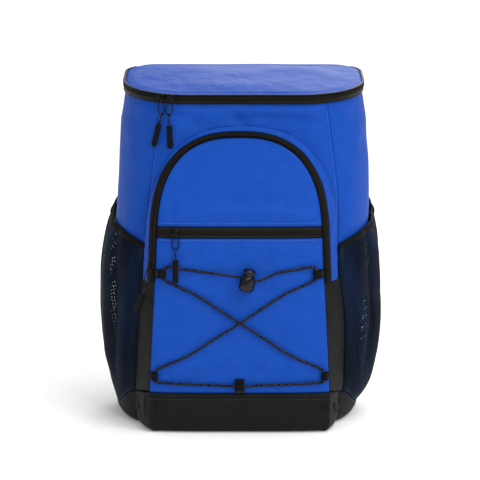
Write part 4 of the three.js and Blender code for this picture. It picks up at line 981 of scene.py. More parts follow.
def side_panel(name, side):
    """A padded side panel, behind the net."""
    stations = side * np.linspace(1.002, 2.998, 81)
    surface, _ = standing_panel(stations, 90)
    distances = edge_distance(surface)
    from_front, height = distances[2], surface[..., 2]
    along = (np.abs(stations) - FRONT_SEAM) / (BACK_SEAM - FRONT_SEAM)
    mouth = mesh_top(along)[None, :]
    free = ease(height, mouth - 0.030, mouth + 0.004)
    relief = folds(from_front, height, SIDE_FOLDS) + 0.0007 * waves(from_front, height, 0.07, 21 + side)
    relief = free * relief - (1 - free) * 0.0016
    wall, margins = sizes().wall, (0, sizes().lid_zip_below, 0, 0)
    shape = padded_slab(surface, wall, puff=0.0020, reach=0.007, outward=side, relief=relief, margins=margins)
    piece = make(f"side_panel_{name}_cloth", shape, blue_cloth(), [f"side_panel_{name}"])


def back_panel():
    """The padded back, with two sewn channels."""
    along = np.linspace(-0.998, 0.998, 101)
    stations = (BACK_MIDDLE - np.abs(along)) * np.where(along < 0, -1, 1)
    surface, share = standing_panel(stations, 90)
    x, height = surface[..., 0], surface[..., 2]
    middle = section(height)[6]
    channels = sum(np.exp(-(((x - middle - at) / 0.004) ** 2)) for at in (-0.034, 0.034))
    relief = -0.0022 * channels * ease(share, 0.12, 0.2) * (1 - ease(share, 0.8, 0.88))
    relief = relief + 0.0007 * waves(x, height, 0.06, 31)
    shape = padded_slab(surface, sizes().wall, puff=0.0024, reach=0.009, outward=-1, relief=relief)
    piece = make("back_panel_cloth", shape, padding_cloth(), ["back_panel"])


def pressed_by_cord(x, z):
    """How much the cord presses into the pocket's face, from 0 to 1."""
    line = even_path(cord_route(), 0.004, closed=True)[0][:, (0, 2)]
    nearest = np.full(x.shape, 1.0)
    for at_x, at_z in line:
        nearest = np.minimum(nearest, np.hypot(x - at_x, z - at_z))
    return np.exp(-((nearest / 0.0045) ** 2))


def pocket_sheet(rows, columns, edge, relief_rows, name, seed):
    """Part of the front pocket's face."""
    u, v = grid(rows, columns)
    half, z = edge(u)
    x = lerp(-half, half, v)
    surface = np.stack([x, pocket_face(x, z), z], axis=-1)
    relief = folds(x, z, relief_rows) + 0.0004 * waves(x, z, 0.05, seed) - 0.0009 * pressed_by_cord(x, z)
    shape = padded_slab(surface, POCKET_WALL, puff=0.0017, reach=0.006, outward=1, relief=relief)
    piece = make(f"{name}_cloth", shape, blue_cloth(), [name])


def pocket_panels():
    """The front pocket's face, above and below its straight zip."""
    s = sizes()
    low, high = s.base_front + GAP, s.front_zip_height - s.front_zip_width / 2 - GAP

    def lower(u):
        z = lerp(low, high, u)
        return pocket_half(z), z

    pocket_sheet(96, 107, lower, LOWER_FOLDS, "pocket_panel_lower", 41)
    foot = s.front_zip_height + s.front_zip_width / 2 + GAP
    rise = (foot - s.pocket_spring) / (s.pocket_top - s.pocket_spring)
    first = math.asin(rise ** (1 / ARCH_POWER)) * 2 / math.pi

    def upper(u):
        return arch_point(lerp(first, 0.972, u), pocket_half, s.pocket_spring, s.pocket_top)

    pocket_sheet(84, 107, upper, UPPER_FOLDS, "pocket_panel_upper", 42)


# Creases of the blue gusset, in the same terms
GUSSET_FOLDS = (
    (0.098, 0.325, 0.018, 0.006, 60, -0.0030),
    (0.105, 0.305, 0.016, 0.005, 76, 0.0020),
    (0.112, 0.279, 0.009, 0.0018, 0, 0.0012),
    (0.112, 0.238, 0.009, 0.0018, 4, 0.0012),
    (-0.100, 0.322, 0.020, 0.007, -58, -0.0022),
)

# How far the black gussets lap over the side panels, in stations
GUSSET_LAP = {-1: 0.03, 1: 0.125}


def lap_at(side, z):
    """How far a black gusset laps over the side panel at a height: little where it begins, more below."""
    top = sizes().gusset_split
    return lerp(GUSSET_LAP[side], 0.03, ease(z, top - 0.06, top + 0.004))


def gussets():
    """The front pocket's side walls: blue round the arch, black below it."""
    s = sizes()
    share, v = grid(220, 22, -1, 1)
    along = 2 * (1 - np.abs(share))
    start = (s.arch_zip_width * arch_taper(along) + GAP, s.arch_zip_roll + 0.0012 + GAP)
    sign = np.where(share < 0, -1, 1)
    surface = gusset_point(sign, along, v, start, s.gusset_split + GAP)
    relief = 0.0011 * waves(share * 0.4, v * 0.05, 0.05, 51)
    relief = relief + folds(surface[..., 0], surface[..., 2], GUSSET_FOLDS)
    shape = padded_slab(surface, GUSSET_WALL, puff=0.0003, reach=0.003, outward=-1, relief=relief)
    make("gusset_upper_cloth", shape, blue_cloth(), ["gusset_upper"])
    for name, side in SIDES:
        u, v = grid(80, 30)
        foot = lerp(s.base_front, base_height(1 + GUSSET_LAP[side]), v) + 0.001
        z = lerp(foot, s.gusset_split, u)
        surface = gusset_point(side, 0 * z, v, (GAP * 2, 0.003 + GAP), z)
        lapped = body_point(side * (1 + lap_at(side, z[:, -1])), z[:, -1], 0.0012)
        surface = surface + (lapped - surface[:, -1])[:, None] * v[..., None] ** 1.5
        relief = 0.0012 * waves(z, v * 0.04, 0.05, 53 + side) + 0.0012 * np.sin(math.pi * v) * np.sin(z * 60)
        shape = padded_slab(surface, GUSSET_WALL, puff=0.0008, reach=0.005, outward=side, relief=relief)
        node = f"gusset_lower_{name}"
        make(f"{node}_cloth", shape, black_cloth(), [node])


# The boot and the lid


def round_loop(right_half):
    """Places round a loop, right half first, then the left half back, with the side of each."""
    left = right_half[1:-1][::-1]
    return np.concatenate([right_half, left]), np.concatenate([np.ones(len(right_half)), -np.ones(len(left))])


# Places round the boot: where its front ends, where its gusset meets the body, and the middle of its back
FRONT_CORNER, SEAM_CORNER, BOOT_BACK = 1.0, 2.0, 5.0

# How far below the boot's edge its hem is sewn
BOOT_HEM = 0.0075


def boot_point(place, side, z, offset):
    """A point of the boot's skin. place runs along its front to 1, the gusset to 2, then round the body."""
    z = z + 0 * place
    half = pocket_half(z)
    corner = np.stack([half + offset * 0.6, pocket_face(half, z) - offset * 0.6, z], axis=-1)
    x = half * np.minimum(place, 1)
    square = np.stack([x, pocket_face(x, z) - offset, z], axis=-1)
    front = lerp(square, corner, ease(place, 0.93, 1.0)[..., None])
    seam_x, seam_y = outline(1.0 + 0 * z, z, offset)
    seam = np.stack([seam_x + side * section(z)[6], seam_y, z], axis=-1)
    share = np.clip(place - FRONT_CORNER, 0, 1)
    gusset = lerp(corner, seam, share[..., None])
    gusset[..., 0] += 0.0025 * np.sin(math.pi * share)
    front[..., 0] *= side
    gusset[..., 0] *= side
    body_x, body_y = outline(np.maximum(place - 1, 1), z, offset)
    body = np.stack([section(z)[6] + side * body_x, body_y, z], axis=-1)
    flat = np.where((place <= FRONT_CORNER)[..., None], front, gusset)
    return np.where((place <= SEAM_CORNER)[..., None], flat, body)


def boot_top(place):
    """Height of the boot's edge."""
    s = sizes()
    ahead = lerp(s.base_front, s.base_seam, np.clip(place - FRONT_CORNER, 0, 1))
    return np.where(place <= SEAM_CORNER, ahead, base_height(np.maximum(place - 1, 1)))


# Creases of the boot: place round it, height as a share, reach in places, width as a share, turn in degrees,
# height in metres
BOOT_FOLDS = (
    (-0.95, 0.55, 0.030, 0.70, 0, -0.0030),
    (-1.25, 0.60, 0.08, 0.60, 0, 0.0024),
    (-1.60, 0.45, 0.14, 0.14, 30, -0.0032),
    (-1.85, 0.60, 0.12, 0.12, 16, 0.0026),
    (-0.50, 0.80, 0.25, 0.10, 4, -0.0010),
    (0.20, 0.35, 0.45, 0.16, -3, 0.0012),
    (0.93, 0.45, 0.08, 0.12, 40, -0.0034),
    (0.98, 0.70, 0.07, 0.10, -30, 0.0028),
    (1.30, 0.55, 0.12, 0.12, 24, -0.0036),
    (1.50, 0.30, 0.14, 0.10, 18, 0.0032),
    (1.80, 0.62, 0.14, 0.12, -20, -0.0030),
    (1.95, 0.35, 0.12, 0.10, -12, 0.0026),
    (2.60, 0.50, 0.25, 0.25, 10, -0.0012),
    (-2.60, 0.50, 0.25, 0.25, -10, -0.0012),
    (4.10, 0.50, 0.20, 0.25, 0, 0.0012),
    (-3.90, 0.50, 0.20, 0.25, 0, 0.0012),
)


def boot():
    """The black boot: a rolled foot, creased walls, a hem along its top edge and the floor."""
    s = sizes()
    half = np.concatenate([
        np.linspace(0, 0.9, 24)[:-1], np.linspace(0.9, 1.1, 13)[:-1], np.linspace(1.1, 2, 22)[:-1],
        np.linspace(2, 4, 58)[:-1], np.linspace(4, BOOT_BACK, 22),
    ])
    place, side = (np.roll(values, 1 - len(half)) for values in round_loop(half))
    loops = []
    foot_loops = 9
    for share in np.linspace(0, 1, foot_loops):
        inset = s.base_rounding * (1 - math.sqrt(1 - (1 - share) ** 2))
        loops.append(boot_point(place, side, s.base_rounding * share, -inset))
    top = boot_top(place)
    for share in np.linspace(0, 1, 30)[1:]:
        z = lerp(s.base_rounding, top, share)
        below = top - z
        fold = 0.0007 * np.exp(-(((below - 0.0035) / 0.0028) ** 2))
        fold = fold - 0.0011 * np.exp(-(((below - BOOT_HEM) / 0.0011) ** 2))
        crease = folds(side * place, share, BOOT_FOLDS) * math.sin(math.pi * min(share, 1)) ** 0.5
        uneven = 0.0009 * waves(side * place * 0.09, z, 0.045, 61) * math.sin(math.pi * share)
        rounding = -0.0010 * ease(share, 0.965, 1.0)
        loops.append(boot_point(place, side, z, 0.0004 + fold + crease + uneven + rounding))
    for share in np.linspace(1, 0, 12):
        loops.append(boot_point(place, side, lerp(s.base_rounding, top, share), -s.base_wall))
    for share in (0.35, 0.7, 1.0):
        drop = lerp(s.base_rounding, s.base_floor, share)
        loops.append(boot_point(place, side, drop, -s.base_wall - s.base_rounding * 0.7 * share))
    points, faces = stack(np.array(loops))
    loop_pitch = 0.0016
    cloth = strip_cloth(run_along(loops[foot_loops]), np.arange(len(loops)) * loop_pitch)
    make("boot", (points, faces, cloth), black_cloth(), ["base"])


# Creases of the lid: place across and back, then as the panels' creases
LID_FOLDS = (
    (-0.080, 0.020, 0.050, 0.016, 34, 0.0014),
    (0.070, 0.030, 0.060, 0.018, -28, 0.0012),
    (0.000, -0.020, 0.090, 0.020, 4, -0.0010),
    (0.030, 0.055, 0.060, 0.014, 12, -0.0010),
    (-0.050, -0.045, 0.060, 0.014, -8, 0.0010),
)


def lid():
    """The padded lid: a crowned top that turns down over a rolled edge."""
    s = sizes()
    quarters = [np.linspace(a, a + 1, count)[:-1] for a, count in enumerate((28, 34, 28, 30))]
    half = np.concatenate([*quarters, [BACK_MIDDLE]])
    station, side = round_loop(half)
    middle = section(s.rim_front)[6]

    def loop_at(rise, offset, shrink=1.0, relief=0.0):
        points = rim_point(station, side, rise, offset)
        if shrink != 1:
            points[:, 0] = lerp(middle, points[:, 0], shrink)
            points[:, 1] *= shrink
            points[:, 2] = rim_height(points[:, 1]) + rise
        if relief:
            x, y = points[:, 0], points[:, 1]
            points[:, 2] += relief * (folds(x, y, LID_FOLDS) + 0.0009 * waves(x, y, 0.07, 71))
        return points

    loops = []
    for shrink in np.linspace(0.02, 1, 34):
        rise = s.lid_edge + s.lid_crown * (1 - shrink**2) + s.lid_crown * 0.08 * ease(shrink, 0.9, 1)
        loops.append(loop_at(rise, -s.lid_rolled, shrink, 1 - 0.6 * ease(shrink, 0.8, 1)))
    for turn in np.linspace(0, 1, 12)[1:]:
        angle = turn * math.pi / 2
        rise = lerp(s.lid_edge * 0.35, s.lid_edge * 1.05, math.cos(angle))
        loops.append(loop_at(rise, -s.lid_rolled * (1 - math.sin(angle)) + 0.0004 * math.sin(angle)))
    loops.append(loop_at(GAP, 0.0))
    for inset in (s.wall, s.wall + 0.002):
        loops.append(loop_at(GAP, -inset))
    for shrink in (0.9, 0.6, 0.3, 0.05):
        rise = s.lid_edge + s.lid_crown * (1 - shrink**2) - s.wall
        loops.append(loop_at(rise, -s.lid_rolled, shrink))
    points, faces = stack(np.array(loops))
    cloth = np.stack([points[:, 0], points[:, 1] - points[:, 2], 0 * points[:, 0]], axis=-1)
    piece = make("lid_cloth", (points, faces, cloth), blue_cloth(), ["lid"])


# Zips: pairs across the tape and out from its back, in metres, with how far the teeth show there
COIL = (
    (-0.0026, 0.0013, 0.0), (-0.0023, 0.0019, 0.3), (-0.0017, 0.0025, 1.0), (-0.0010, 0.0026, 1.0),
    (-0.0004, 0.0022, 0.8), (0.0, 0.0016, 0.0), (0.0004, 0.0022, 0.8), (0.0010, 0.0026, 1.0),
    (0.0017, 0.0025, 1.0), (0.0023, 0.0019, 0.3), (0.0026, 0.0013, 0.0),
)


def hem(edge, inward):
    """A tape's sewn edge, from its very edge inwards."""
    rows = ((0.0, 0.0004), (0.0001, 0.0010), (0.0005, 0.0013))
    rows += ((0.0011, 0.0013), (0.0013, 0.0009), (0.0016, 0.0013))
    return [(edge + inward * a, out, 0.0) for a, out in rows]


TOOTH_PITCH = 0.0018


def zip_solid(surface, places, profile):
    """A zip: its tape, the two rows of teeth and its sewn edges, along given places."""
    profile = np.array(sorted(profile))
    across, out, tooth = (profile[None, :, k] for k in range(3))
    beat = np.array([0.0, 0.55, 1.0, 0.55])[np.arange(len(places)) % 4][:, None]
    stagger = np.array([1.0, 0.55, 0.0, 0.55])[np.arange(len(places)) % 4][:, None]
    depth = np.where(across < 0, beat, stagger) * tooth * 0.00055
    path = places[:, None]
    outer = surface(path, across, out - depth)
    inner = surface(path, across, 0 * out)
    points, faces = slab(outer, inner)
    run = run_along(inner[:, 0])
    cloth = np.stack(np.broadcast_arrays(run[:, None], across, 0.0), axis=-1).reshape(-1, 3)
    return points, faces, np.concatenate([cloth, cloth])


def even_places(point_at, low, high, pitch):
    """Places along a path that lie an even pitch apart."""
    dense = np.linspace(low, high, 3000)
    run = run_along(point_at(dense))
    count = int(run[-1] / pitch)
    return np.interp(np.linspace(0, run[-1], count), run, dense)


def on_lid_zip(station, across, out):
    """A point of the lid's zip: across is its height above the coil."""
    station, across, out = np.broadcast_arrays(station, across, out)
    return rim_point(np.abs(station), np.where(station < 0, -1, 1), across, GAP + out)


def on_front_zip(share, across, out):
    """A point of the straight zip, from its right end at 0 to its left end at 1."""
    s = sizes()
    share, across, out = np.broadcast_arrays(share, across, out)
    z = s.front_zip_height + across
    half = pocket_half(z) - GAP
    x = lerp(half, -half, share)
    return np.stack([x, pocket_face(x, z) - out + 0.0018, z], axis=-1)


def arch_taper(along):
    """How much of its width the arched zip keeps as it turns over the crown."""
    return lerp(1.0, 0.74, ease(along, 1.25, 1.95))


def on_arch_zip(share, across, out):
    """A point of the arched zip, from its left foot at -1 to its right foot at 1."""
    s = sizes()
    share, across, out = np.broadcast_arrays(share, across, out)
    along = 2 * (1 - np.abs(share))
    distance = ((GAP + s.arch_zip_width) / 2 + across) * arch_taper(along)
    back = s.arch_zip_roll * (distance / s.arch_zip_width) ** 2
    slope = 2 * s.arch_zip_roll * distance / s.arch_zip_width**2
    tilt = np.hypot(1, slope)
    out = out - 0.0012
    point = beside_edge(along, s.gusset_split, distance + out * slope / tilt, back - out / tilt)
    point[..., 0] *= np.where(share < 0, -1, 1)
    return point


def zips():
    """The three zips, with their teeth."""
    s = sizes()
    step = TOOTH_PITCH / 4
    low, high = -s.lid_zip_below, s.lid_zip_above
    piping = [(high - 0.0018, 0.0014, 0.0), (high - 0.0015, 0.0023, 0.0), (high - 0.0009, 0.0028, 0.0),
              (high - 0.0003, 0.0024, 0.0), (high, 0.0012, 0.0)]
    profile = hem(low, 1) + list(COIL) + piping
    places = even_places(lambda t: on_lid_zip(t, 0.0, 0.001), -BACK_SEAM, BACK_SEAM, step * 1.6)
    make("lid_zip_tape", zip_solid(on_lid_zip, places, profile), tape_cloth(), ["lid_zip"])
    half = s.front_zip_width / 2
    profile = hem(-half, 1) + [(-0.0040, 0.0012, 0.0)] + list(COIL) + [(0.0040, 0.0012, 0.0)] + hem(half, -1)
    places = even_places(lambda t: on_front_zip(t, 0.0, 0.001), 0, 1, step * 1.3)
    make("front_zip_tape", zip_solid(on_front_zip, places, profile), tape_cloth(), ["front_zip"])
    half = (s.arch_zip_width - GAP) / 2
    profile = hem(-half, 1) + list(COIL) + hem(half, -1)
    places = even_places(lambda t: on_arch_zip(t, 0.0, 0.001), -1, 1, step * 1.5)
    make("arch_zip_tape", zip_solid(on_arch_zip, places, profile), tape_cloth(), ["arch_zip"])


# Stitches


def stitch_rows(name, rows, material, stitch=0.0024, space=0.0012, radius=0.00032):
    """Rows of stitches that lie along paths. Each path is points with the way out of the cloth."""
    stitch_section = circle(1.0, 6) * (1.0, 0.7)
    swell_along = np.array([0.35, 0.95, 1.0, 0.95, 0.35]) * radius
    parts = []
    for points, out in rows:
        run = run_along(points)
        for begin in np.arange(space, run[-1] - stitch, stitch + space):
            places = np.linspace(begin, begin + stitch, 5)
            line = np.stack([np.interp(places, run, points[:, k]) for k in range(3)], axis=1)
            away = np.stack([np.interp(places, run, out[:, k]) for k in range(3)], axis=1)
            line = line + away * (np.array([-0.9, 0.4, 0.7, 0.4, -0.9]) * radius)[:, None]
            along = unit(line[-1] - line[0])
            side = unit(np.cross(along, away[2]))
            spokes = stitch_section[:, :1] * side + stitch_section[:, 1:] * away[2]
            parts.append(stack(line[:, None] + spokes[None] * swell_along[:, None, None]))
    make(name, join(*parts), material)


def along_surface(surface, places):
    """A path on a surface given as a function of place and height above it, with the way out."""
    on, above = surface(places, 0.0), surface(places, 0.001)
    out = above - on
    return on, out / np.linalg.norm(out, axis=1, keepdims=True)


def stitching():
    """Seams sewn beside the straight zip, along the side seams, round the boot and on the zips' tapes."""
    s = sizes()
    lift = 0.0013

    def on_pocket(z):
        def surface(x, out):
            y = pocket_face(x, z + 0 * x) - out - lift
            return np.stack([x, y, z + 0 * x], axis=-1)
        return surface

    blue = []
    half_zip = s.front_zip_width / 2
    for z in (s.front_zip_height - half_zip - 0.0026, s.front_zip_height + half_zip + 0.0042):
        half = float(pocket_half(z)) * 0.95
        blue.append(along_surface(on_pocket(z), np.linspace(-half, half, 80)))

    def beside_seam(sign, at):
        def surface(z, out):
            return body_point(sign * at, z, out + 0.0014)
        return surface

    for _, side in SIDES:
        blue.append(along_surface(beside_seam(side, 0.972), np.linspace(0.25, s.rim_front - 0.014, 120)))

    stitch_rows("blue_stitches", blue, blue_thread())
    black = []
    for _, side in SIDES:
        place = np.linspace(0.0, BOOT_BACK, 500)

        def on_boot(at, out, side=side):
            return boot_point(at, side, boot_top(at) - BOOT_HEM, out + 0.0002)

        black.append(along_surface(on_boot, place))

    def on_tape(station, out):
        return on_lid_zip(station, -s.lid_zip_below + 0.0030, out + 0.0013)

    black.append(along_surface(on_tape, np.linspace(-2.98, 2.98, 500)))
    for sign in (-1, 1):
        def on_straight(share, out, sign=sign):
            return on_front_zip(share, sign * (s.front_zip_width / 2 - 0.0021), out + 0.0013)

        black.append(along_surface(on_straight, np.linspace(0.01, 0.99, 100)))
    stitch_rows("black_stitches", black, black_thread(), 0.0022, 0.0012, 0.00026)


# Side pockets


# A side pocket's net laid flat: its width, its height and its area, which is less as its mouth slopes
NET_WIDTH, NET_HEIGHT, NET_AREA = 0.172, 0.232, 0.036

# Upright folds of the net: place and width as shares of its width, and height in metres
NET_FOLDS = ((0.14, 0.05, 0.0024), (0.25, 0.03, -0.0042), (0.36, 0.05, 0.0024), (0.50, 0.04, -0.0026),
             (0.63, 0.04, 0.0020), (0.75, 0.05, -0.0024), (0.87, 0.04, 0.0020))

# How far each net is drawn in or let out from its even bulge, by share of its height
NET_SLACK = {
    "height": (0.0, 0.05, 0.10, 0.16, 0.27, 0.38, 0.50, 0.60, 0.72, 0.83, 0.94, 1.0),
    -1: (0.0, -0.0020, -0.0036, -0.0052, -0.0060, -0.0060,
         -0.0050, -0.0042, -0.0038, -0.0030, -0.0036, -0.0066),
    1: (0.0, 0.0040, 0.0045, 0.0034, 0.0, -0.0012,
        -0.0026, -0.0044, -0.0048, -0.0040, -0.0040, -0.0056),
}


def net_point(side, along, up, lift):
    """A point of the net, with its folds."""
    share = np.clip(along, 0, 1)
    slack = ease(up, 0.05, 0.3) * (1 - 0.55 * ease(up, 0.85, 1.0)) * np.sin(math.pi * share) ** 0.6
    wander = 0.03 * np.sin(up * 5.0 + side)
    crease = sum(rise * np.exp(-(((along + wander - at) / width) ** 2)) for at, width, rise in NET_FOLDS)
    across = 0.0010 * waves(along * 0.16, up * 0.22, 0.05, 81 + side)
    height, split = lerp(sizes().base_seam, sizes().mesh_front, up), sizes().gusset_split
    over_gusset = 0.0022 * (1 - ease(height, split - 0.02, split + 0.006))
    over_gusset = over_gusset * (1 - ease(share, 0.03, 0.12))
    belly = np.sin(math.pi * share) ** 0.8 * read_table(NET_SLACK, side, np.clip(up, 0, 1))
    start = FRONT_SEAM + lap_at(side, height) - 0.04
    return mesh_point(side, share, up, lift + over_gusset + belly + slack * (crease + across), start)


def thicken(front, back, faces):
    """A closed sheet from two sets of points that share their faces, walled along every open edge."""
    count = len(front)
    edges = {}
    for face in faces:
        for a, b in zip(face, face[1:] + face[:1]):
            edges[(a, b)] = True
    walls = [[b, a, a + count, b + count] for a, b in edges if (b, a) not in edges]
    under = [[i + count for i in reversed(face)] for face in faces]
    return np.concatenate([front, back]), faces + under + walls


def net_pocket(name, side):
    """A net side pocket: diamond holes cut through the cloth, with a narrow solid band along its front, back
    and bottom edges.
    """
    pitch = sizes().net_pitch
    columns, rows = int(NET_WIDTH / pitch) * 2, int(NET_HEIGHT / (pitch * 1.15)) * 2
    hole, hem_columns, hem_rows = 0.54, 5, 2
    corners, faces, index = [], [], {}

    def corner(i, j):
        key = (round(i, 4), round(j, 4))
        if key not in index:
            index[key] = len(corners)
            corners.append(key)
        return index[key]

    for i in range(0, columns + 1):
        for j in range(0, rows + 1):
            if (i + j) % 2 == 0:
                continue
            ring = [(i - 1, j), (i, j - 1), (i + 1, j), (i, j + 1)]
            inside = [(a, b) for a, b in ring if 0 <= a <= columns and 0 <= b <= rows]
            if len(inside) < 4:
                if len(inside) == 3:
                    faces.append([corner(a, b) for a, b in inside])
                continue
            if not (hem_columns < i < columns - hem_columns and j > hem_rows):
                faces.append([corner(*place) for place in ring])
                continue
            holes = [(i + (a - i) * hole, j + (b - j) * hole) for a, b in ring]
            for k in range(4):
                after = (k + 1) % 4
                strand = (ring[k], ring[after], holes[after], holes[k])
                faces.append([corner(*place) for place in strand])
    places = np.array(corners)
    along, up = places[:, 0] / columns, places[:, 1] / rows
    front = net_point(side, along, up, 0.0009)
    back = net_point(side, along, up, 0.0002)
    points, faces = thicken(front, back, faces)
    cloth = np.stack([along * NET_WIDTH, up * NET_HEIGHT, 0 * up], axis=-1)
    node = f"mesh_pocket_{name}"
    piece = make(f"{node}_net", (points, faces, np.concatenate([cloth, cloth])), net_cloth(), [node])


def binding(name, side):
    """Folded elastic along the side pocket's mouth, gathered a little."""
    s = sizes()
    low = 1 - s.binding_width / s.mesh_front
    along, v = np.meshgrid(np.linspace(0.0, 1.0, 200), np.linspace(0, 1, 12), indexing="ij")
    gather = 0.0002 * np.sin(along * 260) * np.sin(math.pi * v)
    rounded = 0.0016 * np.sin(math.pi * v) ** 0.45
    up = lerp(low, 1.0, v)
    crease = net_point(side, along, up, 0.0010)
    outer = net_point(side, along, up, 0.0014 + rounded + gather)
    points, faces = slab(outer, crease)
    cloth = np.stack([along * NET_WIDTH, v * s.binding_width, 0 * v], axis=-1).reshape(-1, 3)
    shape = points, faces, np.concatenate([cloth, cloth])
    node = f"pocket_binding_{name}"
    make(f"{node}_elastic", shape, binding_cloth(), [node])


# Cord, loops and lock

UP, DOWN, RIGHT, LEFT = (np.array(v, dtype=float) for v in ((0, 0, 1), (0, 0, -1), (1, 0, 0), (-1, 0, 0)))
TOWARD_FRONT, TOWARD_BACK = np.array([0.0, -1.0, 0.0]), np.array([0.0, 1.0, 0.0])
LOOP_THICKNESS = 0.0014

# Webbing loops: place across and up on the pocket as shares, length, width and the way that each points
LOOPS = {
    "upper_left": (-0.995, 0.549, 0.013, 0.010, RIGHT),
    "upper_right": (0.995, 0.549, 0.013, 0.010, LEFT),
    "lower_left": (-0.993, 0.199, 0.009, 0.010, RIGHT),
    "lower_right": (0.993, 0.199, 0.009, 0.010, LEFT),
    "middle": (0.0, 0.142, 0.0175, 0.011, UP),
}
MIDDLE_MOUTH = 0.0085

# The lock: its place on the pocket, the cord's height above its foot, and its tilt in radians
LOCK_PLACE = (0.1, 0.537)
LOCK_CORD_HEIGHT = 0.015
LOCK_TILT = 0.2
ALONG_LOCK = np.array([math.sin(LOCK_TILT), 0.0, math.cos(LOCK_TILT)])
ACROSS_LOCK = np.array([math.cos(LOCK_TILT), 0.0, -math.sin(LOCK_TILT)])


def on_pocket(across, height, out=0.0):
    """A point on the front pocket: across is a share of half its width, height of its own height."""
    z = height * sizes().pocket_top
    x = across * pocket_half(z)
    return np.array([x, pocket_face(x, z) - out, z], dtype=float)


def loop_frame(name):
    """A webbing loop's root, directions, reach, turn and the eye that the cord runs through."""
    across, height, extent, _, heading = LOOPS[name]
    root = on_pocket(across, height)
    ahead = root + heading * extent
    ahead[1] = pocket_face(ahead[0], ahead[2])
    direction = unit(ahead - root)
    mouth_axis = unit(np.cross(direction, TOWARD_FRONT))
    out = np.cross(mouth_axis, direction)
    root = root + out * GAP * 1.5
    turn = LOOP_THICKNESS + (sizes().cord_diameter + GAP * 2) / 2
    reach = MIDDLE_MOUTH if name == "middle" else extent - turn
    return root, direction, mouth_axis, out, reach, turn, root + direction * reach + out * turn


def webbing_loops():
    """Five folded webbing loops with their bar tacks."""
    tacks = []
    for name, (_, _, extent, width, _) in LOOPS.items():
        root, direction, mouth_axis, out, reach, turn, _ = loop_frame(name)
        half, radius = LOOP_THICKNESS / 2, turn - LOOP_THICKNESS / 2
        if name == "middle":
            end = extent - LOOP_THICKNESS
            turns = np.linspace(0, math.pi, 5)
            fold = [(end + half * math.sin(a), LOOP_THICKNESS - half * math.cos(a)) for a in turns]
            turns = np.linspace(0.1, 2.6, 9)
            over = [(reach + radius * math.cos(a), turn + radius * math.sin(a)) for a in turns]
            path = [(0.0, half), (end * 0.6, half), *fold, (reach + turn * 1.25, half * 3.3), *over]
        else:
            turns = np.linspace(0, math.pi, 11)
            arc = [(reach + radius * math.sin(a), turn - radius * math.cos(a)) for a in turns]
            path = [(0.0, half), (reach * 0.5, half), *arc, (reach - turn * 0.8, 2 * turn - half * 1.5)]
        path += [(reach * 0.3, half * 3.2), (0.0004, half * 3.0)]
        points = np.array([root + direction * a + out * b for a, b in path])
        line, run = even_path(points, 0.0005)
        flat = flat_section(width, LOOP_THICKNESS, 0.8)
        shape = (*sweep(line, flat, mouth_axis), strip_cloth(flat[:, 0], run))
        node = f"cord_loop_{name}"
        make(f"{node}_webbing", shape, webbing_cloth(), [node])
        above = out * LOOP_THICKNESS * 2.05
        for at in (0.0012, 0.0026):
            zigzag = [root + direction * (at + 0.0005 * (-1) ** k) + above + mouth_axis * b
                      for k, b in enumerate(np.linspace(-0.4, 0.4, 12) * width)]
            tacks.append((np.array(zigzag), np.broadcast_to(out, (12, 3))))
    stitch_rows("bar_tacks", tacks, black_thread(), 0.0016, 0.0004, 0.0003)


def on_face(x, z, lift):
    """A point above the front pocket's face."""
    return np.array([x, pocket_face(x, z) - lift, z], dtype=float)


def cord_lift():
    """Height of the cord's middle above the pocket's face."""
    return sizes().cord_diameter / 2 + GAP * 2


def cord_route():
    """The points that the elastic cord follows, once round."""
    s = sizes()
    lift, turn = cord_lift(), s.cord_diameter
    eyes = {name: loop_frame(name)[6] for name in LOOPS}
    widths = {name: row[3] for name, row in LOOPS.items()}
    lock = on_pocket(*LOCK_PLACE, s.lock_radius + GAP * 3)

    def between(a, b, shares, hump=0.0):
        made = []
        for share in shares:
            over = hump * math.exp(-(((share - 0.5) / 0.06) ** 2))
            made.append(on_face(lerp(a[0], b[0], share), lerp(a[2], b[2], share), lift + over))
        return made

    def through(name, direction):
        return [eyes[name] + direction * share * widths[name] for share in (-0.54, -0.25, 0.25, 0.54)]

    def beside(name, inward, outward, nearer=0.0):
        """A point in from a loop and past its mouth: up past the upper loops, down past the lower ones."""
        side = 1 if name.endswith("left") else -1
        way = 1 if name.startswith("upper") else -1
        past = widths[name] / 2 + turn - nearer
        return on_face(eyes[name][0] + side * inward, eyes[name][2] + way * outward * past, lift)

    cross = (0.2, 0.35, 0.44, 0.47, 0.5, 0.53, 0.56, 0.65, 0.8)
    ul, ur, ll, lr = "upper_left", "upper_right", "lower_left", "lower_right"
    leaving = {name: beside(name, turn * 2.2, 1) for name in (ul, ur, ll, lr)}
    rounding = {name: beside(name, turn * 0.7, 1, turn * 0.2) for name in (ul, ur, ll, lr)}
    inner = {name: beside(name, turn * 0.8, -1) for name in (ul, ur, ll, lr)}
    route = [lock + ACROSS_LOCK * share * s.lock_radius for share in (1.25, 0.6, 0, -0.6, -1.25)]
    route += between(lock, leaving[ul], (0.5, 0.8)) + [leaving[ul], rounding[ul]]
    route += through(ul, DOWN) + [inner[ul]] + between(eyes[ul], eyes[lr], cross)
    route += [inner[lr]] + through(lr, DOWN) + [rounding[lr], leaving[lr]]
    route += between(leaving[lr], eyes["middle"], (0.4, 0.8)) + through("middle", LEFT)
    route += between(eyes["middle"], leaving[ll], (0.2, 0.6)) + [leaving[ll], rounding[ll]] + through(ll, UP)
    route += [inner[ll]] + between(eyes[ll], eyes[ur], cross, s.cord_diameter + GAP * 2)
    route += [inner[ur]] + through(ur, UP) + [rounding[ur], leaving[ur]]
    route += between(leaving[ur], lock, (0.2, 0.5))
    return np.array(route)


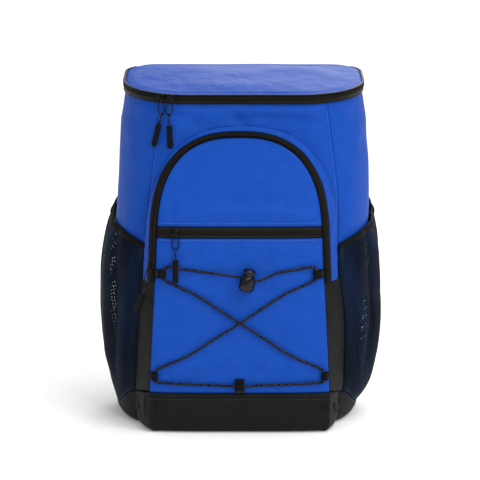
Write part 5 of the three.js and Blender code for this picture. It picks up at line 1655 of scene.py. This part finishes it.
def elastic_cord():
    """The braided cord: one endless loop through the five webbing loops and the lock."""
    sides = 12
    line, run = even_path(cord_route(), 0.00062, closed=True)
    angle = np.arange(sides) / sides * 2 * math.pi
    twist = run[:, None] / 0.0042 * 2 * math.pi
    braid = np.sin(angle * 2 + twist) * np.sin(angle * 2 - twist)
    radius = sizes().cord_diameter / 2 * (1 + 0.07 * braid)
    profile = np.stack([radius * np.cos(angle), radius * np.sin(angle)], axis=-1)
    shape = sweep(line, profile, TOWARD_FRONT, closed=True)
    cloth = strip_cloth(angle * 0.0015, run, closed=True)
    make("elastic_cord_braid", (*shape, cloth), cord_cloth(), ["elastic_cord"])


def cut(piece, cutter_shape):
    """Cuts a hole through a piece."""
    points, faces = cutter_shape
    mesh = bpy.data.meshes.new("cutter")
    mesh.from_pydata((np.asarray(points) + origin()).tolist(), [], faces)
    cutter = bpy.data.objects.new("cutter", mesh)
    bpy.context.scene.collection.objects.link(cutter)
    modifier = piece.modifiers.new("hole", "BOOLEAN")
    modifier.operation, modifier.object, modifier.solver = "DIFFERENCE", cutter, "EXACT"
    done = bpy.data.meshes.new_from_object(piece.evaluated_get(bpy.context.evaluated_depsgraph_get()))
    piece.modifiers.clear()
    piece.data = done
    bpy.data.objects.remove(cutter)
    done.shade_smooth()
    done.set_sharp_from_angle(angle=math.radians(35))


def on_lock(foot, shape):
    """Moves a shape drawn upright into the tilted lock."""
    return place_in((ACROSS_LOCK, TOWARD_BACK, ALONG_LOCK), foot, shape)


def tall_hole(radius, height):
    """A hole across the lock, as tall as given between its round ends."""
    a = np.linspace(0, math.pi, 13)
    top = np.stack([radius * np.cos(a), height + radius * np.sin(a)], axis=-1)
    rim = np.concatenate([top, np.stack([-radius * np.cos(a), -radius * np.sin(a)], axis=-1)])
    loops = [np.stack([np.full(len(rim), x), *rim.T], axis=-1) for x in (-0.02, 0.02)]
    return stack(np.array(loops) + UP * LOCK_CORD_HEIGHT)


def cord_lock():
    """The lock's glossy barrel and the button that presses into it."""
    s = sizes()
    foot = on_pocket(*LOCK_PLACE, s.lock_radius + GAP * 3) - ALONG_LOCK * LOCK_CORD_HEIGHT
    r, h, bore, bore_floor = s.lock_radius, s.lock_height, 0.0056, 0.0024
    hole = (s.cord_diameter + GAP * 2) / 2
    barrel = [(0.0002, 0.0), (r * 0.58, 0.0), (r * 0.72, 0.0003), (r * 0.86, h * 0.06), (r * 0.94, h * 0.14),
              (r * 0.985, h * 0.24), (r, h * 0.32), (r, h * 0.38), (r * 0.955, h * 0.40),
              (r * 0.955, h * 0.44), (r, h * 0.46), (r * 0.995, h * 0.54), (r * 0.975, h * 0.64),
              (r * 0.94, h * 0.74),
              (r * 0.895, h * 0.84), (r * 0.84, h * 0.93), (r * 0.79, h * 0.985), (r * 0.74, h),
              (bore + 0.0006, h), (bore, h - 0.0006), (bore, bore_floor), (0.0002, bore_floor)]
    piece = make("cord_lock_shell", on_lock(foot, lathe(barrel, 56)), black_plastic(),
                 ["cord_lock_barrel"], sharp=35)
    cut(piece, on_lock(foot, tall_hole(hole, 0.0)))
    travel, stem, cap_r, cap_h = 0.003, bore - GAP, 0.0076, 0.0048
    cap = h + travel + GAP
    button = [(0.0002, bore_floor + travel + GAP), (stem, bore_floor + travel + GAP), (stem, cap - 0.0002),
              (cap_r * 0.9, cap), (cap_r * 0.98, cap + 0.0004), (cap_r, cap + cap_h * 0.2),
              (cap_r, cap + cap_h * 0.45), (cap_r * 0.95, cap + cap_h * 0.66),
              (cap_r * 0.84, cap + cap_h * 0.82), (cap_r * 0.66, cap + cap_h * 0.93),
              (cap_r * 0.56, cap + cap_h * 0.92),
              (cap_r * 0.5, cap + cap_h * 0.86), (0.0002, cap + cap_h * 0.84)]
    piece = make("cord_lock_cap", on_lock(foot, lathe(button, 56)), black_plastic(),
                 ["cord_lock_button"], body="lock_button", sharp=35)
    cut(piece, on_lock(foot, tall_hole(hole, travel)))


# Zip sliders, rings and pulls

SEAT_LIFT, SLIDER_HEIGHT, RING_WIRE = 0.0016, 0.0022, 0.0014
RING_SEAT = SEAT_LIFT + SLIDER_HEIGHT + GAP + RING_WIRE / 2 + GAP
RING_LENGTH, RING_WIDTH, PULL_NECK = 0.020, 0.008, 0.012
GRIP_LENGTH, GRIP_WIDTH, GRIP_THICKNESS = 0.028, 0.0072, 0.0036
HANG = RING_LENGTH + PULL_NECK + GRIP_LENGTH
KNEE_LIFT, TIP_LIFT = 0.0032, GRIP_THICKNESS / 2 + GAP * 3


def lengthwise(rows, rounding=0.9, steps=5):
    """A rounded bar drawn downwards, from rows of place, width, thickness and height of its middle."""
    loops = []
    for down, width, thickness, middle in rows:
        corner = min(width, thickness) * rounding / thickness / 2
        flat = flat_section(width, thickness, min(corner, 0.5), steps)
        loops.append(np.stack([flat[:, 0], np.full(len(flat), down), flat[:, 1] + middle], axis=-1))
    return stack(np.array(loops))


def slider_shape(zip_runs_down):
    """A slider's body, waisted as a real one is, with the bridge that holds the ring."""
    width, extent = (0.0075, 0.010) if zip_runs_down else (0.010, 0.0075)
    middle, plate_thickness = SEAT_LIFT + SLIDER_HEIGHT * 0.62, 0.0014
    rows = []
    for share in np.linspace(-1, 1, 15):
        end = math.sqrt(max(1 - abs(share) ** 4, 0.0))
        waist = 1 - 0.14 * math.exp(-(((share - 0.25) / 0.3) ** 2)) if zip_runs_down else 1.0
        across, through = width * (0.45 + 0.55 * end) * waist, plate_thickness * (0.4 + 0.6 * end)
        rows.append((share * extent / 2, across, through, middle))
    plate = lengthwise(rows)
    under, shares = SEAT_LIFT + 0.0004, np.linspace(-1, 1, 5)
    rows = [(share * extent / 2 * 0.94, width * 0.86, plate_thickness, under) for share in shares]
    lower = lengthwise(rows)
    hole = (RING_WIRE + GAP * 2) / 2 + 0.0005
    foot = SEAT_LIFT + SLIDER_HEIGHT - 0.0005
    path = [(0, -hole - 0.0002, foot), (0, -hole, foot + 0.0007)]
    path += [(0, -hole * math.cos(a), RING_SEAT + hole * math.sin(a)) for a in np.linspace(0, math.pi, 9)]
    path += [(0, hole, foot + 0.0007), (0, hole + 0.0002, foot)]
    line = smooth_path(path, 40)
    return join(plate, lower, sweep(line, flat_section(0.003, 0.0011, 0.6, 4), np.array([1.0, 0, 0])))


def ring_shape():
    """The long wire ring between slider and pull."""
    bar = 0.0015 + RING_WIRE / 2 + GAP * 2
    half = [(bar * 0.6, 0), (bar, RING_LENGTH * 0.05), (bar * 1.1, RING_LENGTH * 0.25),
            (RING_WIDTH / 2, RING_LENGTH * 0.72), (RING_WIDTH * 0.42, RING_LENGTH * 0.9),
            (RING_WIDTH * 0.2, RING_LENGTH * 0.99)]
    path = [(x, y, 0) for x, y in half] + [(-x, y, 0) for x, y in half[::-1]]
    return sweep(smooth_path(path, 72, closed=True), circle(RING_WIRE / 2, 10), UP, closed=True)


def pull_neck_shape():
    """A cord looped round the ring and run into the grip."""
    end = PULL_NECK + 0.002
    half = [(end, 0.0007), (end * 0.6, 0.0007), (0.0026, 0.0011), (0.0006, 0.0014), (-0.0009, 0.0011)]
    path = [(0, down, out) for down, out in half] + [(0, -0.0014, 0)]
    path += [(0, down, -out) for down, out in half[::-1]]
    line, run = even_path(path, 0.0004)
    angle = np.arange(10) / 10 * 2 * math.pi
    twist = run[:, None] / 0.003 * 2 * math.pi
    radius = 0.00068 * (1 + 0.08 * np.sin(angle * 2 + twist) * np.sin(angle * 2 - twist))
    profile = np.stack([radius * np.cos(angle), radius * np.sin(angle)], axis=-1)
    return sweep(line, profile, np.array([1.0, 0, 0]))


def grip_shape():
    """A moulded grip, rounded at its ends, waisted and ribbed."""
    rows = []
    for share in np.linspace(0, 1, 61):
        end = max(1 - abs(2 * share - 1) ** 7, 0.0) ** 0.5
        waist = 1 - 0.10 * math.exp(-(((share - 0.42) / 0.2) ** 2))
        rib = 0.10 * sum(math.exp(-(((share - at) / 0.022) ** 2)) for at in (0.46, 0.56, 0.66, 0.76))
        width = GRIP_WIDTH * (0.55 + 0.45 * end) * waist
        thickness = GRIP_THICKNESS * (0.45 + 0.55 * end) * (0.9 + rib)
        rows.append((PULL_NECK + GRIP_LENGTH * share, width, thickness, 0.0))
    return lengthwise(rows, 0.9, 6)


def zip_pull(name, seat, out, knee, tip, zip_runs_down=False):
    """A slider on a zip, with its ring and pull hanging from it."""
    down = knee - seat
    down = unit(down - out * np.dot(down, out))
    shape = place_in(axes_of(down, out), seat, slider_shape(zip_runs_down))
    make(f"{name}_slider_body", shape, black_metal(), [f"{name}_slider"], sharp=40)
    hinge = seat + out * RING_SEAT
    ring_down = unit(knee - hinge)
    shape = place_in(axes_of(ring_down, out), hinge, ring_shape())
    make(f"{name}_ring_wire", shape, black_metal(), [f"{name}_ring"])
    link = hinge + ring_down * RING_LENGTH * 0.985
    pull_down = unit(tip - link)
    axes = axes_of(pull_down, out)
    shape = place_in(axes, link, grip_shape())
    make(f"{name}_pull_grip", shape, black_rubber(), [f"{name}_pull"], sharp=50)
    make(f"{name}_pull_cord", place_in(axes, link, pull_neck_shape()), cord_cloth())


def outward_at(surface, step):
    """The way out of a surface."""
    across = surface(step, 0) - surface(-step, 0)
    upward = surface(0, step) - surface(0, -step)
    return unit(np.cross(across, upward))


def lid_pull(name, seat, knee, tip):
    """A pull on the lid's zip. Its places are shares of half the body's width, on the left."""
    s = sizes()
    lift = GAP + 0.0012

    def station_at(share, z):
        return share * s.body_width / 2 / section(z)[3]

    def on_zip(dx, dz):
        return rim_point(np.asarray(station_at(seat, s.rim_front) - dx), -1, dz, lift)

    start = on_zip(0, 0)

    def on_panel(share, z, clear):
        return body_point(-station_at(share, z), z, lift + clear)

    zip_pull(name, start, outward_at(on_zip, 0.01), on_panel(knee, start[2] - RING_LENGTH, KNEE_LIFT),
             on_panel(tip, start[2] - HANG, TIP_LIFT))


def zip_pulls():
    """The four sliders with their rings and pulls."""
    s = sizes()
    lid_pull("lid_left", 0.625, 0.617, 0.686)
    lid_pull("lid_right", 0.552, 0.566, 0.56)
    height, lift = s.front_zip_height, 0.0006
    x = -0.77 * pocket_half(height)

    def on_straight(dx, dz):
        return on_face(x + dx, height + dz, lift)

    over_cord = cord_lift() + s.cord_diameter + GAP * 3 + TIP_LIFT
    zip_pull("front_pocket", on_straight(0, 0), outward_at(on_straight, 0.001),
             on_face(x, height - RING_LENGTH, lift + KNEE_LIFT), on_face(x, height - HANG, over_cord))
    middle, slope = s.arch_zip_width / 2, s.arch_zip_roll / s.arch_zip_width

    def on_arch(dx, dz):
        along = np.asarray((0.017 + dz) / (s.pocket_spring - s.gusset_split))
        return beside_edge(along, s.gusset_split, middle - dx, middle * slope * 0.5 - dx * slope) * (-1, 1, 1)

    seat = on_arch(0, 0)
    aside, back = GRIP_WIDTH * 2.8, GRIP_WIDTH * 2
    zip_pull("arch", seat, outward_at(on_arch, 0.001),
             seat + (-aside * 0.3, back * 0.25 - KNEE_LIFT * 1.7, -RING_LENGTH),
             seat + (-aside, back - KNEE_LIFT, -HANG), zip_runs_down=True)


# Straps and handle


def strap_path(side):
    """The points that a shoulder strap's middle line follows."""
    s = sizes()
    across, out, height = (np.array(STRAP[name]) for name in ("across", "out", "height"))
    x = side * across * s.body_width / 2
    y = s.body_depth / 2 + GAP + out * s.strap_stand_off
    return np.stack([x, y, height * s.rim_back], axis=-1)


def below_strap(side):
    """The strap's end, its direction there and the way out of it."""
    line = smooth_path(strap_path(side), 400)
    along = unit(line[-1] - line[-2])
    out = unit(np.cross(RIGHT, along))
    return line[-1], along, out if out[1] > 0 else -out


def strap_section(width, thickness, count=64):
    """A padded strap's section: a fat middle between two bound edges."""
    angle = np.arange(count) / count * 2 * math.pi
    across = np.sign(np.cos(angle)) * np.abs(np.cos(angle)) ** 0.35
    through = np.sign(np.sin(angle)) * np.abs(np.sin(angle)) ** 0.55
    bound = 1 - 0.42 * np.exp(-(((np.abs(across) - 0.86) / 0.035) ** 2)) - 0.2 * (np.abs(across) > 0.9)
    return np.stack([across * width / 2, through * thickness / 2 * bound], axis=-1)


def shoulder_straps():
    """Two padded straps, each with its buckle and webbing."""
    s = sizes()
    buckle_length, buckle_width, buckle_thickness, webbing = 0.024, 0.036, 0.0045, 0.0018
    for name, side in SIDES:
        line, run = even_path(strap_path(side), 0.0026)
        end_share = run / run[-1]
        narrow = 1 - 0.18 * ease(end_share, 0.93, 1.0)
        padding = strap_section(s.strap_width, s.strap_thickness)
        profile = padding[None] * np.stack([narrow, np.ones_like(narrow)], axis=-1)[:, None]
        profile[..., 1] *= (1 + 0.05 * np.sin(run / 0.021))[:, None]
        shape = (*sweep(line, profile, RIGHT, start=TOWARD_BACK), strip_cloth(padding[:, 0], run))
        node = f"shoulder_strap_{name}"
        piece = make(f"{node}_padding", shape, padding_cloth(), [node])
        end, along, out = below_strap(side)
        axes = axes_of(along, out)
        centre = end + along * (buckle_length / 2 + GAP)
        a, b, bar = buckle_width / 2 - 0.0024, buckle_length / 2 - 0.0022, buckle_thickness
        corners = [(a, -b * 0.7, 0), (a, b * 0.7, 0), (a * 0.86, b, 0), (-a * 0.86, b, 0),
                   (-a, b * 0.7, 0), (-a, -b * 0.7, 0), (-a * 0.86, -b, 0), (a * 0.86, -b, 0)]
        frame_line = smooth_path(corners, 96, closed=True)
        ring = sweep(frame_line, flat_section(0.0044, bar, 0.5), UP, closed=True)
        cross_line = np.stack([np.linspace(-a, a, 12), np.zeros(12), np.zeros(12)], axis=-1)
        cross_bar = sweep(cross_line, flat_section(0.0052, bar * 0.8, 0.7), np.array([0, 1.0, 0]))
        node = f"strap_buckle_{name}"
        shape = place_in(axes, centre, join(ring, cross_bar))
        make(f"{node}_frame", shape, satin_plastic(), [node], sharp=50)
        back = -(buckle_thickness + webbing) / 2 - GAP * 3
        anchor = body_point(side * (BACK_MIDDLE - 0.44), s.base_back + 0.034, GAP + webbing / 2)

        def behind(share):
            return centre + along * share * buckle_length + out * back

        path = [behind(-0.45), behind(0.1), behind(0.6), lerp(behind(0.6), anchor, 0.5),
                anchor + (0, 0.001, s.webbing_width * 0.6), anchor]
        line, run = even_path(path, 0.0015)
        flat = flat_section(s.webbing_width, webbing, 0.8)
        shape = (*sweep(line, flat, RIGHT), strip_cloth(flat[:, 0], run))
        node = f"strap_webbing_{name}"
        make(f"{node}_tape", shape, webbing_cloth(), [node])


def grab_handle():
    """The webbing handle on the back's upper edge, thicker where a hand holds it."""
    rows = ((-1, 0.0003, 0.0), (-0.97, 0.0135, 0.001), (-0.8, 0.0255, 0.002), (-0.4, 0.030, 0.0026),
            (0.4, 0.030, 0.0026), (0.8, 0.0255, 0.002), (0.97, 0.0135, 0.001), (1, 0.0003, 0.0))
    half, height, back = 0.055, 0.394, sizes().body_depth / 2
    path = [(across * half, back + out, height + rise) for across, out, rise in rows]
    line, run = even_path(path, 0.0012)
    share = run / run[-1]
    grip = ease(share, 0.24, 0.3) * (1 - ease(share, 0.7, 0.76))
    flat = flat_section(0.020, 0.004, 0.9, 7)
    profile = flat[None] * np.stack([1 - 0.05 * grip, 0.62 + 0.42 * grip], axis=-1)[:, None]
    shape = sweep(line, profile, UP, start=TOWARD_BACK, end=TOWARD_FRONT)
    shape = (*shape, strip_cloth(flat[:, 0], run))
    make("grab_handle_webbing", shape, webbing_cloth(), ["grab_handle"])


# Stage

# Broad lights: the way that each comes from, its spread in degrees and its strength
SKIES = {"overhead": ((0.5, -0.3, 2.0), 50, 1.35), "key": ((1.5, -1.3, 1.7), 25, 0.95)}

# Soft lights: where each stands, what it faces, its diameter in metres and its power in watts
LIGHTS = {
    "window": ((0.35, 1.75, 1.25), (0, 0, 0.42), 1.3, 15.0),
    "lamp": ((0.68, -1.8, 0.97), (0, 0, 0.25), 0.2, 6.0),
    "small_lamp": ((-0.3, -1.9, 0.85), (0, 0, 0.25), 0.16, 2.5),
}

# The camera: lens and sensor in millimetres, pitch in radians, distance and the point that it looks at
LENS, SENSOR = 196.8, 36.0
CAMERA_PITCH, CAMERA_DISTANCE, CAMERA_TARGET = math.radians(9.5), 3.2, (0.0, 0.0, 0.212)
FLOOR_REACH = 60.0


def aim(made, target):
    """Turns a light or the camera to look at a point."""
    made.rotation_euler = (Vector(target) - made.location).to_track_quat("-Z", "Y").to_euler()


def light(name, at, target, size, energy):
    """A soft studio light."""
    data = bpy.data.lights.new(name, "AREA")
    data.shape, data.size, data.energy = "DISK", size, energy
    made = bpy.data.objects.new(name, data)
    made.location = at
    aim(made, target)
    bpy.context.scene.collection.objects.link(made)


def sky(name, toward, spread_of, strength):
    """A broad light that falls evenly on the whole floor."""
    data = bpy.data.lights.new(name, "SUN")
    data.angle, data.energy = math.radians(spread_of), strength
    made = bpy.data.objects.new(name, data)
    made.location = toward
    aim(made, (0, 0, 0))
    bpy.context.scene.collection.objects.link(made)


@finish("pale_floor")
def paper(shader):
    """Pale paper with a faint glow of its own, so that it meets the pale surround."""
    fibre = shader.noise(shader.node("NewGeometry").outputs["Position"], 0.4, 3.0)
    shader.set(Base_Color=shader.tone(colours().floor, shader.ramp(fibre, 0.99, 1.01)))
    shader.set(Roughness=0.85, Specular_IOR_Level=0.15)
    shader.set(Emission_Color=(1.0, 1.0, 1.0, 1.0), Emission_Strength=0.1)


def stage():
    """Pale floor, soft studio light, a pale surround and the camera."""
    scene = bpy.context.scene
    mesh = bpy.data.meshes.new("floor")
    reach = FLOOR_REACH
    corners = [(-reach, -reach, 0), (reach, -reach, 0), (reach, reach, 0), (-reach, reach, 0)]
    mesh.from_pydata(corners, [], [(0, 1, 2, 3)])
    mesh.materials.append(paper())
    floor = bpy.data.objects.new("floor", mesh)
    scene.collection.objects.link(floor)
    world = bpy.data.worlds.new("studio")
    world.use_nodes = True
    surround = world.node_tree.nodes["Background"].inputs
    surround["Color"].default_value = (1.0, 1.0, 1.0, 1.0)
    surround["Strength"].default_value = 0.5
    scene.world = world
    for name, row in SKIES.items():
        sky(name, *row)
    for name, row in LIGHTS.items():
        light(name, *row)
    scene.view_settings.view_transform = "Standard"
    camera = bpy.data.cameras.new("camera")
    camera.lens, camera.sensor_width = LENS, SENSOR
    made = bpy.data.objects.new("camera", camera)
    ahead, above = CAMERA_DISTANCE * math.cos(CAMERA_PITCH), CAMERA_DISTANCE * math.sin(CAMERA_PITCH)
    made.location = (0.0, -ahead, CAMERA_TARGET[2] + above)
    aim(made, CAMERA_TARGET)
    scene.collection.objects.link(made)
    scene.camera = made


# Operators


class BACKPACK_OT_stage(bpy.types.Operator):
    """Makes the floor, lights and camera"""

    bl_idname = "backpack.stage"
    bl_label = "Stage"

    def execute(self, context):
        stage()
        return {"FINISHED"}


class BACKPACK_OT_boot(bpy.types.Operator):
    """Makes the black boot"""

    bl_idname = "backpack.boot"
    bl_label = "Boot"

    def execute(self, context):
        boot()
        return {"FINISHED"}


class BACKPACK_OT_front_panel(bpy.types.Operator):
    """Makes the padded front panel"""

    bl_idname = "backpack.front_panel"
    bl_label = "Front panel"

    def execute(self, context):
        front_panel()
        return {"FINISHED"}


class BACKPACK_OT_side_panels(bpy.types.Operator):
    """Makes the padded side panels"""

    bl_idname = "backpack.side_panels"
    bl_label = "Side panels"

    def execute(self, context):
        for name, side in SIDES:
            side_panel(name, side)
        return {"FINISHED"}


class BACKPACK_OT_back_panel(bpy.types.Operator):
    """Makes the padded back panel"""

    bl_idname = "backpack.back_panel"
    bl_label = "Back panel"

    def execute(self, context):
        back_panel()
        return {"FINISHED"}


class BACKPACK_OT_lid(bpy.types.Operator):
    """Makes the padded lid"""

    bl_idname = "backpack.lid"
    bl_label = "Lid"

    def execute(self, context):
        lid()
        return {"FINISHED"}


class BACKPACK_OT_pocket_panels(bpy.types.Operator):
    """Makes the front pocket's face"""

    bl_idname = "backpack.pocket_panels"
    bl_label = "Pocket panels"

    def execute(self, context):
        pocket_panels()
        return {"FINISHED"}


class BACKPACK_OT_gussets(bpy.types.Operator):
    """Makes the front pocket's side walls"""

    bl_idname = "backpack.gussets"
    bl_label = "Gussets"

    def execute(self, context):
        gussets()
        return {"FINISHED"}


class BACKPACK_OT_zips(bpy.types.Operator):
    """Makes the zips' tapes and teeth"""

    bl_idname = "backpack.zips"
    bl_label = "Zips"

    def execute(self, context):
        zips()
        return {"FINISHED"}


class BACKPACK_OT_stitching(bpy.types.Operator):
    """Sews the visible seams"""

    bl_idname = "backpack.stitching"
    bl_label = "Stitching"

    def execute(self, context):
        stitching()
        return {"FINISHED"}


class BACKPACK_OT_side_pockets(bpy.types.Operator):
    """Makes the net pockets and their bindings"""

    bl_idname = "backpack.side_pockets"
    bl_label = "Side pockets"

    def execute(self, context):
        for name, side in SIDES:
            net_pocket(name, side)
            binding(name, side)
        return {"FINISHED"}


class BACKPACK_OT_cord_loops(bpy.types.Operator):
    """Makes the webbing loops for the cord"""

    bl_idname = "backpack.cord_loops"
    bl_label = "Cord loops"

    def execute(self, context):
        webbing_loops()
        return {"FINISHED"}


class BACKPACK_OT_elastic_cord(bpy.types.Operator):
    """Makes the braided cord"""

    bl_idname = "backpack.elastic_cord"
    bl_label = "Elastic cord"

    def execute(self, context):
        elastic_cord()
        return {"FINISHED"}


class BACKPACK_OT_cord_lock(bpy.types.Operator):
    """Makes the lock's barrel and button"""

    bl_idname = "backpack.cord_lock"
    bl_label = "Cord lock"

    def execute(self, context):
        cord_lock()
        return {"FINISHED"}


class BACKPACK_OT_zip_pulls(bpy.types.Operator):
    """Makes the sliders, rings and pulls"""

    bl_idname = "backpack.zip_pulls"
    bl_label = "Zip pulls"

    def execute(self, context):
        zip_pulls()
        return {"FINISHED"}


class BACKPACK_OT_shoulder_straps(bpy.types.Operator):
    """Makes the straps, buckles and webbing"""

    bl_idname = "backpack.shoulder_straps"
    bl_label = "Shoulder straps"

    def execute(self, context):
        shoulder_straps()
        return {"FINISHED"}


class BACKPACK_OT_grab_handle(bpy.types.Operator):
    """Makes the webbing handle"""

    bl_idname = "backpack.grab_handle"
    bl_label = "Grab handle"

    def execute(self, context):
        grab_handle()
        return {"FINISHED"}


# The order in which the pieces are made
OPERATORS = (
    BACKPACK_OT_stage,
    BACKPACK_OT_boot,
    BACKPACK_OT_front_panel,
    BACKPACK_OT_side_panels,
    BACKPACK_OT_back_panel,
    BACKPACK_OT_lid,
    BACKPACK_OT_pocket_panels,
    BACKPACK_OT_gussets,
    BACKPACK_OT_zips,
    BACKPACK_OT_stitching,
    BACKPACK_OT_side_pockets,
    BACKPACK_OT_cord_loops,
    BACKPACK_OT_elastic_cord,
    BACKPACK_OT_cord_lock,
    BACKPACK_OT_zip_pulls,
    BACKPACK_OT_shoulder_straps,
    BACKPACK_OT_grab_handle,
)


class BACKPACK_PT_pieces(bpy.types.Panel):
    """The backpack's sizes, colours and pieces"""

    bl_label = "Cooler backpack"
    bl_space_type = "VIEW_3D"
    bl_region_type = "UI"
    bl_category = "Backpack"

    def draw(self, context):
        for group in (context.scene.bag_sizes, context.scene.bag_colours):
            box = self.layout.box()
            for name in group.__annotations__:
                box.prop(group, name)
        for made in OPERATORS:
            self.layout.operator(made.bl_idname)


CLASSES = [BagSizes, BagColours, *OPERATORS, BACKPACK_PT_pieces]


def register():
    """Registers the add-on's classes and settings."""
    for made in CLASSES:
        bpy.utils.register_class(made)
    bpy.types.Scene.bag_sizes = PointerProperty(type=BagSizes)
    bpy.types.Scene.bag_colours = PointerProperty(type=BagColours)


def unregister():
    """Removes the add-on's classes and settings."""
    del bpy.types.Scene.bag_colours
    del bpy.types.Scene.bag_sizes
    for made in reversed(CLASSES):
        bpy.utils.unregister_class(made)


def main():
    """Makes every piece."""
    register()
    for made in OPERATORS:
        name = made.bl_idname.split(".")[1]
        getattr(bpy.ops.backpack, name)()


if __name__ == "__main__":
    main()
